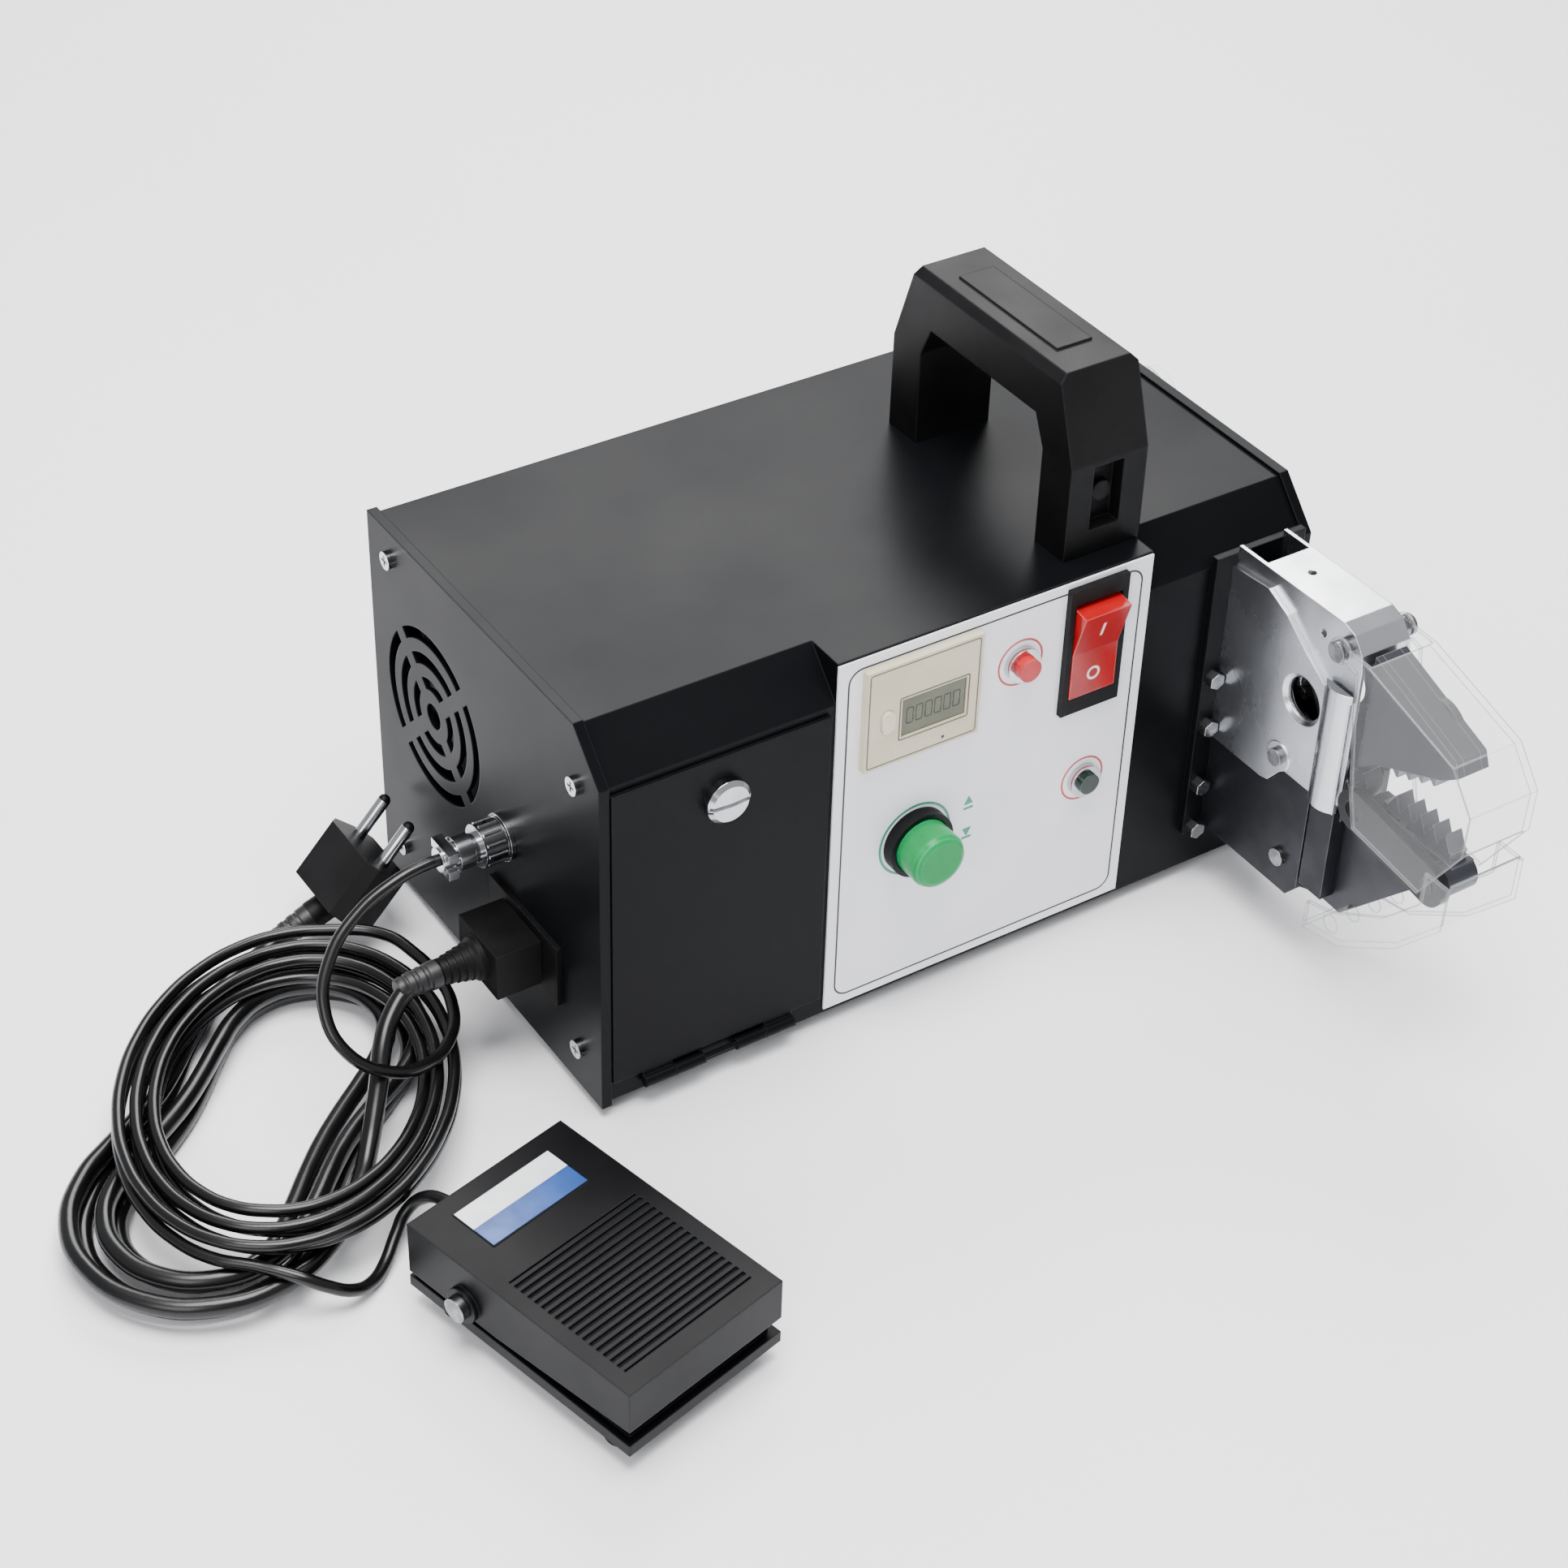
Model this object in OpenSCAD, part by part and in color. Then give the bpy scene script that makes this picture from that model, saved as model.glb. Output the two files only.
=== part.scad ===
/* [Case] */
// Length of the case over the end caps
case_l = 300; // [296:1:306]
// Depth of the case from front to back
case_d = 160; // [158:1:166]
// Height of the case above its feet
case_h = 156; // [154:1:162]
// Height of the rubber feet under the case
foot_h = 6; // [4:0.5:10]
// Radius of the rubber feet
foot_r = 9; // [7:0.5:11]
// Spacing of the feet along the case
foot_span_x = 250; // [220:1:256]
// Spacing of the feet across the case
foot_span_y = 110; // [90:1:120]
// Radius of the screw hole through each foot
foot_hole_r = 2.2; // [1.6:0.1:2.8]
// Sheet thickness of the cover and the tray
sheet_t = 1.5; // [1.2:0.1:1.8]
// Setback of the sloped front edge
bevel_y = 16; // [12:1:18]
// Drop of the sloped front edge
bevel_z = 17; // [12:1:18]
// Thickness of the end caps
cap_t = 2; // [1.6:0.1:2.2]
// How far the rim of an end cap stands proud of the cover
rim_proud = 1.2; // [0.8:0.1:1.4]
// Depth of that rim along the case
rim_depth = 2; // [1.4:0.1:2.2]

/* [Panel] */
// Left edge of the control panel plate
panel_x = -57; // [-58:0.5:-56]
// Width of the control panel plate
panel_w = 133; // [131:0.5:134]
// Thickness of the control panel plate
panel_t = 0.8; // [0.6:0.1:1]
// Width of the counter frame
counter_w = 48; // [44:1:50]
// Height of the counter frame
counter_h = 42; // [38:1:44]
// Width of the rocker switch frame
rocker_w = 25.5; // [24:0.5:27]
// Height of the rocker switch frame
rocker_h = 54; // [50:1:54]
// Radius of the green push button
push_r = 11; // [9:0.5:12]
// Travel of the green push button
push_travel = 4; // [2:0.5:5]
// Radius of the overload reset button
reset_r = 4.5; // [3.5:0.1:5]
// Radius of the guide lamp button
lamp_r = 4.2; // [3:0.1:4.8]
// Travel of the small buttons
small_travel = 1.2; // [0.6:0.1:1.5]

/* [Door] */
// Width of the access door
door_w = 86; // [80:1:87]
// Height of the access door
door_h = 130; // [124:1:131]
// Radius of the door lock head
lock_r = 8.5; // [7:0.5:10]

/* [Handle] */
// Width of the handle across its legs
handle_w = 33; // [28:1:36]
// Length of the handle at its feet
handle_l = 108; // [100:1:114]
// Height of the handle above the case
handle_h = 70; // [62:1:76]
// Thickness of the handle's legs
handle_t = 17; // [14:1:19]

/* [Crimp head] */
// Unit length that the outlines of the crimp head follow
head_size = 100; // [99:0.5:101]
// Distance of the crimp head's centre from the right end of the case
head_inset = 25; // [24.9:0.1:25.5]
// Thickness of the mounting flange
flange_t = 3; // [2.6:0.1:3.4]
// Radius of the jaw pivot pin
pivot_r = 4; // [3.4:0.1:4.4]
// Radius of the ram
ram_r = 8; // [7.4:0.1:8.2]
// Stroke of the ram
ram_stroke = 13.3; // [13:0.1:13.4]
// Thickness of the clear guards
guard_t = 1.5; // [1.2:0.1:1.7]
// Number of teeth on the lower die
die_teeth = 5; // [4:1:5]

/* [Foot pedal] */
// Length of the foot pedal
pedal_l = 103; // [98:1:108]
// Width of the foot pedal
pedal_w = 68; // [64:1:72]
// Height of the foot pedal
pedal_h = 36; // [34:1:38]
// Number of ribs on the treadle
pedal_ribs = 17; // [12:1:17]

/* [Cords] */
// Diameter of the pedal cord
pedal_cord_d = 4.5; // [4.2:0.1:4.6]
// Diameter of the mains cord
mains_cord_d = 7; // [6.6:0.1:7.1]

/* [Hidden] */
$fn = 48;
// Overrun of every cut
over = 1;
// Running fit between a pin and its bore
fit = 0.05;
// Gap between pieces that move past each other
gap = 0.3;
half_l = case_l / 2;
half_d = case_d / 2;
head_x = half_l - head_inset;
case_top = foot_h + case_h;
front_y = -half_d;
inner_x = half_l - cap_t;
rim_x = inner_x - rim_depth;
inner_y = half_d - sheet_t;
tray_lip = 14;
vent_n = 8;
vent_w = 4;
vent_h = 40;
vent_step = 10;
screw_r = 3.5;
screw_h = 1.8;
screw_shank_r = 1.6;
screw_len = 8;
slot_w = 1;

// Fan in the left end cap
fan_y = 36;
fan_z = foot_h + 95;
fan_size = 80;
fan_depth = 25;
fan_bore_r = 37.5;
fan_hub_r = 17;
fan_tip_gap = 2;
fan_blades = 7;
fan_blade_t = 2;
fan_blade_w = 17;
fan_blade_tilt = 35;
fan_plate_t = 3;
fan_spindle_r = 2;
grille_hole_r = 5;
grille_slot_w = 4.5;
grille_r1 = 10.5;
grille_step = 9.5;
grille_rings = 3;
grille_spoke_w = 6;

// Panel places
panel_low = 2;
panel_high = 1;
counter_x = -23;
counter_z = case_top - 27;
counter_t = 3;
counter_body_in = 2;
counter_depth = 20;
window_w = 27;
window_h = 16;
window_x = -18.5;
window_z = case_top - 30;
window_t = 1;
window_pocket = 1.6;
creset_x = -38;
creset_z = case_top - 29;
creset_w = 5;
creset_h = 9;
creset_t = 4.4;
creset_out = 1.2;
overload_x = 20;
overload_z = case_top - 27;
bush_rim = 2.4;
bush_wall = 1.1;
bush_h = 3;
bush_depth = 14;
button_depth = 8;
reset_out = 3.5;
rocker_x = 51.25;
rocker_z = case_top - 30;
rocker_t = 2.5;
rocker_rim = 2.2;
rocker_wall = 1.4;
rocker_depth = 22;
rocker_half_h = 19;
rocker_vee = 2.8;
rocker_face = 5;
rocker_back = 6;
rocker_tilt = 8;
rocker_swing = 1.5;
push_x = -21;
push_z = foot_h + 67;
push_ring_w = 2;
push_ring_h = 5;
push_out = 12;
push_round = 2.5;
push_neck = 2;
push_depth = 24;
lamp_x = 53.5;
lamp_z = foot_h + 64.5;
lamp_out = 2;

// Access door places
door_x = -rim_x + 0.5;
door_z = foot_h + 6;
door_t = 1.5;
door_gap = 0.2;
door_margin_x = 7.5;
door_margin_low = 12;
door_margin_top = 9;
knuckle_r = 2.3;
knuckle_pin_r = 1;
knuckle_len = 12;
knuckle_in = 12;
lock_dx = 43.5;
lock_drop = 17;
lock_h = 4.5;
lock_round = 1.5;
lock_shank_r = 4;
lock_slot_w = 1.6;
lock_slot_depth = 1.2;
lock_tongue_l = 13;
lock_tongue_w = 7;
lock_tongue_t = 1.5;
lock_grip = 3.6;

// Handle places
handle_x = 60.5;
handle_y = -16;
handle_shift_share = 0.102;
handle_knee_share = 0.54;
handle_bar_share = 0.29;
handle_bevel = 3;
handle_inlay_t = 0.8;
handle_inlay_w = 15;
handle_inlay_l = 58;
handle_pocket_w = 13;
handle_pocket_h = 26;
handle_pocket_d = 6;
handle_pocket_z = 10;
handle_screw_r = 4;
handle_screw_h = 3;

// Clear cap on the right end
dome_y = 18;
dome_z = case_top - 11.5;
dome_r = 11;
dome_ring = 1.2;
dome_ring_t = 2;
dome_len = 5;
dome_wall = 1.2;

// Round socket and plug on the left end
socket_y = -15;
socket_z = foot_h + 76;
socket_flange_r = 9;
socket_flange_t = 2;
socket_r = 6;
socket_bore_r = 4.6;
socket_out = 7;
socket_in = 8;
nut_r = 8;
nut_len = 9;
nut_teeth = 12;
plug_core_r = 3.6;
plug_neck_r = 5.5;
plug_neck_len = 6;
plug_clamp_r = 6.5;
plug_clamp_len = 12;
plug_pins = 4;
plug_pin_r = 0.6;
plug_pin_ring = 2.1;

// Mains inlet and connector on the left end
inlet_y = -30;
inlet_z = foot_h + 40;
inlet_w = 48;
inlet_h = 26;
inlet_t = 2;
inlet_cut_w = 30;
inlet_cut_h = 22;
inlet_depth = 18;
inlet_wall = 2;
conn_gap = 0.3;
conn_len = 18;
conn_boot_len = 16;
conn_boot_r = 6.5;
conn_ribs = 5;
conn_rib_w = 2;

// Mains plug lying against the left end
mplug_y = 56;
mplug_x = half_l + 19;
mplug_z = foot_h + 28;
mplug_tilt = 47;
mplug_w = 36;
mplug_t = 22;
mplug_len = 24;
mplug_nose = 6;
mplug_pin_r = 2.4;
mplug_pin_len = 19;
mplug_pin_span = 19;
mplug_boot_r = 5.5;
mplug_boot_len = 10;
mplug_boot_dip = 20;

// Drive inside the case
cam_y = -18;
drive_z_share = 1.1;
cam_base_r = 14;
cam_turn = 170;
cam_half = 5;
cam_roller_r = 5.6;
cam_gap = 0.4;
shaft_r = 6;
gear_mod = 1;
cam_gear_n = 60;
pinion_n = 15;
gear_x = 8.5;
gear_w = 4.5;
gear_tip_share = 0.7;
gear_root_share = 1.25;
gear_flank_share = 0.2;
pinion_over = 0.5;
plate_t = 4;
plate_near = 21;
plate_far = 17;
plate_front = 20;
plate_back = 120;
plate_top_gap = 12;
motor_r = 30;
motor_len = 90;
gearbox_r = 27;
gearbox_len = 45;
drive_shaft_r = 4;
spacer_r = 4;

// Crimp head, measured from the case front and the case underside
flange_half = 20.4;
flange_low = 18;
flange_high = 144;
bolt_off = 16.4;
bolt_head_r = 3.4;
bolt_head_h = 4;
bolt_shank_r = 2.5;
bolt_len = 10;
bolt_z_shares = [0.207, 0.414, 0.69, 0.91];
head_y = front_y - flange_t;
cover_half = 11;
cover_t = 1.5;
zinc_t = 2;
column_r = 9;
column_w = 14;
column_out = 2.5;
column_low_share = 0.71;
column_high_share = 1.23;
low_half = 9;
low_t = 3;
cheek_half = 5.5;
cheek_t = 3;
pin_head_t = 0.7;
lobe_t = 0.5;
jaw_half = 4;
jaw_plate_t = 3;
block_half = 5;
die_half = 3.8;
die_h = 8;
hub_r = 9;
hub_gap = 0.4;
lever_r = 5;
arm_r = 8;
arm_t = 4;
arm_off = 9.4;
arm_pin_r = 3;
boss_r = 6.4;
guard_off = 14;
tray_off = 16.1;
guard_pin_r = 2;
guard_head_r = 4;
guard_head_h = 1.5;
big_hole_r = 8.5;
big_bevel = 1.6;
jaw_open = 24;
ram_head_half = 5;
ram_head_len = 9;
ram_gap = 0.6;
bush_r = 12;
bush_collar_r = 14;
bush_collar_t = 3;
bush_tail = 12;
post_w = 6;

// Outlines of the crimp head: distance in front of the flange, height above the case underside
pivot_shares = [0.65, 0.82];
roller_shares = [0.43, 1.10];
arm_pivot_shares = [1.18, 0.74];
arm_end_shares = [0.78, 0.80];
guard_pivot_shares = [0.61, 1.40];
cover_flange_shares = [[0, 0.645], [0, 1.47], [0.57, 1.48], [0.63, 1.46], [0.68, 1.40],
    [0.69, 1.34], [0.69, 0.745], [0.38, 0.745], [0.30, 0.645]];
cover_top_shares = [[0.14, 1.4725], [0.57, 1.48], [0.63, 1.46], [0.68, 1.40], [0.685, 1.355]];
zinc_shares = [[0, 0.63], [0, 1.39], [0.20, 1.41], [0.31, 1.36], [0.43, 1.27], [0.51, 1.22],
    [0.54, 1.20], [0.68, 1.20], [0.68, 0.71], [0.54, 0.73], [0.40, 0.73], [0.33, 0.64], [0.29, 0.63]];
low_plate_shares = [[0, 0.21], [0, 0.625], [0.292, 0.625], [0.332, 0.635], [0.402, 0.725],
    [0.55, 0.725], [0.55, 0.27], [0.50, 0.21]];
cheek_shares = [[0, 0.24], [0, 0.96], [0.40, 0.96], [0.56, 0.90], [0.70, 0.90], [0.72, 0.86], [0.72, 0.74],
    [0.68, 0.66], [0.68, 0.31], [0.50, 0.24]];
post_shares = [[0.56, 0.31], [0.56, 0.71], [0.68, 0.71], [0.68, 0.31]];
block_shares = [[0.57, 0.25], [0.72, 0.245], [1.09, 0.64], [1.21, 0.78], [1.21, 0.805],
    [0.76, 0.805], [0.74, 0.74], [0.57, 0.74]];
core_shares = [[0.705, 1.40], [1.15, 1.24], [1.175, 1.18], [1.10, 1.12], [0.80, 0.985],
    [0.69, 0.86], [0.61, 0.90], [0.705, 1.06]];
jaw_plate_shares = [[0.705, 1.40], [1.15, 1.24], [1.175, 1.18], [1.10, 1.125], [0.78, 0.983],
    [0.705, 0.92]];
lobe_shares = [0.94, 1.20];
lobe_r = 12;
guard_shares = [[0.575, 1.385], [0.575, 1.425], [0.76, 1.42], [1.22, 1.29], [1.335, 1.15],
    [1.333, 0.98], [1.16, 0.70], [0.805, 0.746], [0.77, 0.87], [0.70, 1.355]];
guard_top_shares = [[0.76, 1.42], [1.22, 1.29], [1.335, 1.15], [1.333, 0.98]];
tray_out_shares = [[0.67, 0.20], [0.86, 0.24], [1.13, 0.43], [1.32, 0.65], [1.32, 0.83]];
tray_in_shares = [[1.20, 0.83], [1.20, 0.69], [1.05, 0.52], [0.80, 0.36], [0.67, 0.32]];
tray_pin_shares = [0.79, 0.295];
big_hole_shares = [0.44, 1.07];
lobe_screw_shares = [0.37, 0.775];
low_screw_shares = [0.44, 0.35];
side_hole_shares = [0.48, 1.38];
die_shares = [0.85, 1.17];
die_pitch_share = 0.064;
die_tip_share = 0.08;
die_valley_share = 0.02;
die_face_share = 0.084;
nose_depth_share = 0.033;
nose_top_share = 0.02;
nose_tip_share = 0.005;
die_toe_share = 0.02;

// Foot pedal places
pedal_x = -201.7;
pedal_y = -164.8;
pedal_turn = 13.6;
pedal_foot_h = 8;
pedal_foot_r = 6.5;
pedal_foot_x = 23.5;
pedal_foot_y = 38;
pedal_rim_h = 4.5;
pedal_wall = 2;
pedal_top_t = 2.4;
pedal_slack = 1;
pedal_hinge_y = 24;
pedal_hinge_z = 20;
pedal_bolt_r = 3;
pedal_head_r = 4.5;
pedal_head_h = 3;
pedal_boss_r = 6.5;
pedal_boss_h = 2;
pedal_skirt_front = 19;
pedal_skirt_back = 14.5;
pedal_skirt_knee = 10;
pedal_inner_top = 26;
pedal_frame_w = 61;
pedal_frame_l = 58;
pedal_frame_y = -17;
pedal_frame_t = 2.5;
pedal_rib_h = 1.2;
pedal_rib_share = 0.5;
pedal_label_w = 42;
pedal_label_l = 20;
pedal_label_y = 34;
pedal_label_t = 0.4;
gland_x = -8;
gland_z = 20;
gland_r = 4;
gland_len = 6;
gland_slot = 2;

// Cord coil: centre, direction away from the viewer, radii, spiral step and levels
coil_c = [-244, -31, 22.4];
coil_dir = 34;
coil_r = 60;
coil_oval_share = 1.35;
coil_step = 6;
coil_rise = 5.1;
coil_turns = 5.5;
coil_start = 90;
loop_rings = 24;
form_sides = 6;
tube_sides = 8;

// Mains hank: centre, direction, end radius, half length, spiral step and levels
hank_c = [-257, -30, 3.5];
hank_dir = 40;
hank_r = 44;
hank_half = 44;
hank_step = 11.8;
hank_rise = 7.6;
hank_last_ring = 85;
hank_climb = 1.5;
hank_waist_share = 0.1;

// Route points of the free stretches of cord, chosen by hand
pedal_near_route = [[-193.5, -15.5, 80], [-209.5, -17.5, 73.5], [-223, -23.5, 64.5],
    [-231, -33.5, 53.5], [-229.5, -46, 42], [-217.5, -54, 33.5], [-201.5, -52.5, 29],
    [-188, -42.5, 27.5], [-179.5, -27, 26], [-176, -10, 24], [-176.5, 7, 23],
    [-181.5, 23.5, 22.5]];
pedal_far_route = [[-279.5, -108, 16], [-272, -113, 12], [-264, -115, 7.5], [-255.5, -112, 4],
    [-248, -106.5, 4], [-241, -100.5, 7.5], [-234.5, -96.5, 12.5], [-228.5, -98.5, 17.5]];
mains_near_route = [[-197.5, -31, 45], [-207, -35.5, 40.5], [-214.5, -42.5, 34.5],
    [-220, -50, 27.5], [-226, -57.5, 21], [-232.5, -65.5, 15]];
mains_far_route = [[-202, 56, 10.5], [-209, 55, 8], [-216.5, 54, 5.5], [-223.5, 51.5, 3.8],
    [-230.5, 49, 3.5], [-237, 45, 3.5]];

// Prism along X from an outline in Y and Z
module along_x(x, len) {
    translate([x, 0, 0]) rotate([90, 0, 90]) linear_extrude(len) children();
}

// Prism along Y from an outline in X and Z
module along_y(y, len) {
    translate([0, y + len, 0]) rotate([90, 0, 0]) linear_extrude(len) children();
}

// Rod along X through a point in Y and Z
module rod_x(x, len, p, r) {
    translate([x, p[0], p[1]]) rotate([0, 90, 0]) cylinder(h = len, r = r);
}

// Rod along Y through a point in X and Z
module rod_y(y, len, p, r) {
    translate([p[0], y, p[1]]) rotate([-90, 0, 0]) cylinder(h = len, r = r);
}

// Box from one corner to the other
module box(a, b) {
    translate(a) cube(b - a);
}

// Both sides of the crimp head, the second one mirrored across its centre plane
module both_sides() {
    children();
    translate([head_x * 2, 0, 0]) mirror([1, 0, 0]) children();
}

// Cut along Y for a frame with a wall left round it
module cut_y(x, z, w, h, y, len) {
    box([x - w / 2, y, z - h / 2], [x + w / 2, y + len, z + h / 2]);
}

function case_pts(g, low) = [
    [-half_d - g, low], [-half_d - g, case_top - bevel_z + g / 2],
    [-half_d + bevel_y - g / 2, case_top + g], [half_d + g, case_top + g], [half_d + g, low]];
function square_pts(g, low) = [
    [-half_d - g, low], [-half_d - g, case_top + g], [half_d + g, case_top + g], [half_d + g, low]];
function drop_back(p, t) = [for (q = p) q - [-t, t]];
function flip(p) = [for (i = [len(p) - 1:-1:0]) p[i]];
function at(s) = [head_y - s[0] * head_size, foot_h + s[1] * head_size];
function outline(s) = [for (p = s) at(p)];
function unit(v) = v / norm(v);
function bar_pts(a, ra, b, rb) = let (d = unit(b - a), n = [-d[1], d[0]])
    [a + n * ra, b + n * rb, b - n * rb, a - n * ra];
function mid_x(t) = head_x - t / 2;

drive_z = foot_h + drive_z_share * head_size;
gear_span = gear_mod * (cam_gear_n + pinion_n) / 2;
pinion_y = cam_y + gear_span;
pivot = at(pivot_shares);
panel_face = front_y - panel_t;

module cover_section(x0, x1, outer, inner) {
    along_x(x0, x1 - x0) difference() {
        polygon(outer);
        polygon(inner);
    }
}

module case_cover() {
    color([0.09, 0.09, 0.10]) {
        difference() {
            union() {
                cover_section(-inner_x, panel_x, case_pts(0, foot_h),
                    case_pts(-sheet_t, foot_h - over));
                cover_section(panel_x, panel_x + panel_w, square_pts(0, foot_h),
                    square_pts(-sheet_t, foot_h - over));
                cover_section(panel_x + panel_w, inner_x, case_pts(0, foot_h),
                    case_pts(-sheet_t, foot_h - over));
                for (x = [panel_x, panel_x + panel_w - sheet_t]) along_x(x, sheet_t)
                    polygon([[front_y, case_top - bevel_z - sheet_t], [front_y, case_top],
                        [front_y + bevel_y + sheet_t, case_top],
                        [front_y + bevel_y + sheet_t, case_top - sheet_t],
                        [front_y + sheet_t, case_top - bevel_z - sheet_t]]);
            }
            box([door_x + door_margin_x, front_y - over, door_z + door_margin_low],
                [door_x + door_w - door_margin_x, front_y + sheet_t + over,
                    door_z + door_h - door_margin_top]);
            panel_cuts(front_y - over, sheet_t + over * 2);
            rod_y(front_y - over, sheet_t + over * 2, [head_x, drive_z], bush_r + gap);
            for (z = bolt_z_shares, s = [-1, 1])
                rod_y(front_y - over, sheet_t + over * 2,
                    [head_x + s * bolt_off, foot_h + z * head_size], bolt_shank_r + fit);
            for (i = [0:vent_n - 1])
                box([(i - vent_n / 2) * vent_step, inner_y - over, foot_h + case_h / 4],
                    [(i - vent_n / 2) * vent_step + vent_w, half_d + over,
                        foot_h + case_h / 4 + vent_h]);
        }
        for (x = [door_x + knuckle_in + knuckle_len + gap,
                door_x + door_w - knuckle_in - knuckle_len * 2 - gap]) difference() {
            union() {
                box([x, hinge_y, hinge_z - knuckle_r], [x + knuckle_len, front_y, hinge_z]);
                rod_x(x, knuckle_len, [hinge_y, hinge_z], knuckle_r);
            }
            rod_x(x - over, knuckle_len + over * 2, [hinge_y, hinge_z], knuckle_pin_r);
        }
        rod_x(door_x + knuckle_in, door_w - knuckle_in * 2, [hinge_y, hinge_z], knuckle_pin_r);
    }
}

module panel_cuts(y, len) {
    cut_y(counter_x, counter_z, counter_w - counter_body_in * 2 + gap,
        counter_h - counter_body_in * 2 + gap, y, len);
    cut_y(rocker_x, rocker_z, rocker_w - rocker_rim + gap, rocker_h - rocker_rim + gap, y, len);
    rod_y(y, len, [overload_x, overload_z], reset_r + bush_wall + fit * 2 + gap / 2);
    rod_y(y, len, [lamp_x, lamp_z], lamp_r + bush_wall + fit * 2 + gap / 2);
    rod_y(y, len, [push_x, push_z], push_r);
}

module base_tray() {
    color([0.10, 0.10, 0.11]) difference() {
        union() {
            box([-inner_x + gap, -inner_y + gap, foot_h],
                [inner_x - gap, inner_y - gap, foot_h + sheet_t]);
            for (s = [0, 1]) mirror([0, s, 0])
                box([-inner_x + gap, -inner_y + gap, foot_h],
                    [inner_x - gap, -inner_y + gap + sheet_t, foot_h + tray_lip]);
        }
        for (x = [-1, 1], y = [-1, 1])
            translate([x * foot_span_x / 2, y * foot_span_y / 2, foot_h - over])
                cylinder(h = sheet_t + over * 2, r = foot_hole_r);
    }
}

module case_feet() {
    color([0.05, 0.05, 0.05]) for (x = [-1, 1], y = [-1, 1])
        translate([x * foot_span_x / 2, y * foot_span_y / 2, 0]) difference() {
            cylinder(h = foot_h, r = foot_r);
            translate([0, 0, -over]) cylinder(h = foot_h + over * 2, r = foot_hole_r);
        }
}

cap_screw_shares = [[-0.41, 0.85], [0.41, 0.93], [-0.41, 0.10], [0.41, 0.10]];
function cap_screw(s) = [s[0] * case_d, foot_h + s[1] * case_h];

module end_cap() {
    along_x(inner_x, cap_t) polygon(case_pts(rim_proud, foot_h - sheet_t));
    along_x(rim_x, rim_depth) difference() {
        polygon(case_pts(rim_proud, foot_h - sheet_t));
        polygon(case_pts(0, foot_h - sheet_t - over));
    }
}

module cap_screw_holes() {
    for (s = cap_screw_shares)
        rod_x(inner_x - over, cap_t + over * 2, cap_screw(s), screw_shank_r + fit);
}

module right_end_cap() {
    color([0.09, 0.09, 0.10]) difference() {
        end_cap();
        cap_screw_holes();
    }
}

module left_end_cap() {
    color([0.09, 0.09, 0.10]) difference() {
        mirror([1, 0, 0]) difference() {
            end_cap();
            cap_screw_holes();
        }
        translate([-half_l - over, fan_y, fan_z]) rotate([0, 90, 0]) {
            cylinder(h = cap_t + over * 2, r = grille_hole_r);
            for (i = [0:grille_rings - 1]) let (r = grille_r1 + i * grille_step)
                linear_extrude(cap_t + over * 2) difference() {
                    circle(r = r + grille_slot_w);
                    circle(r = r);
                    for (a = [45, 135]) rotate(a)
                        square([fan_size, grille_spoke_w], center = true);
                }
        }
        rod_x(-half_l - over, cap_t + over * 2, [socket_y, socket_z], socket_r + gap);
        box([-half_l - over, inlet_y - inlet_cut_w / 2 - gap, inlet_z - inlet_cut_h / 2 - gap],
            [-inner_x + over, inlet_y + inlet_cut_w / 2 + gap, inlet_z + inlet_cut_h / 2 + gap]);
    }
}

module case_screws() {
    color([0.75, 0.75, 0.76]) for (m = [0, 1]) mirror([m, 0, 0]) for (s = cap_screw_shares)
        let (p = cap_screw(s)) {
            difference() {
                rod_x(half_l, screw_h, p, screw_r);
                for (a = [0, 90]) translate([half_l + screw_h, p[0], p[1]]) rotate([a, 0, 0])
                    cube([screw_h, slot_w, screw_r * 1.2], center = true);
            }
            rod_x(half_l - screw_len, screw_len, p, screw_shank_r);
        }
}

module label_plate() {
    color([0.93, 0.93, 0.94]) difference() {
        box([panel_x, panel_face, foot_h + panel_low],
            [panel_x + panel_w, front_y, case_top - panel_high]);
        panel_cuts(panel_face - over, panel_t + over * 2);
    }
}

module fan_housing() {
    color([0.05, 0.05, 0.05]) {
        difference() {
            box([-inner_x, fan_y - fan_size / 2, fan_z - fan_size / 2],
                [-inner_x + fan_depth, fan_y + fan_size / 2, fan_z + fan_size / 2]);
            rod_x(-inner_x - over, fan_depth + over * 2, [fan_y, fan_z], fan_bore_r);
        }
        intersection() {
            rod_x(-inner_x + fan_depth - fan_plate_t, fan_plate_t, [fan_y, fan_z],
                fan_bore_r + over);
            union() {
                rod_x(-inner_x + fan_depth - fan_plate_t, fan_plate_t, [fan_y, fan_z], fan_hub_r);
                translate([-inner_x + fan_depth - fan_plate_t / 2, fan_y, fan_z])
                    for (a = [0, 90]) rotate([a, 0, 0])
                        cube([fan_plate_t, fan_plate_t * 2, fan_size], center = true);
            }
        }
        rod_x(-inner_x + fan_plate_t, fan_depth - fan_plate_t, [fan_y, fan_z], fan_spindle_r);
    }
}

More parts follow.
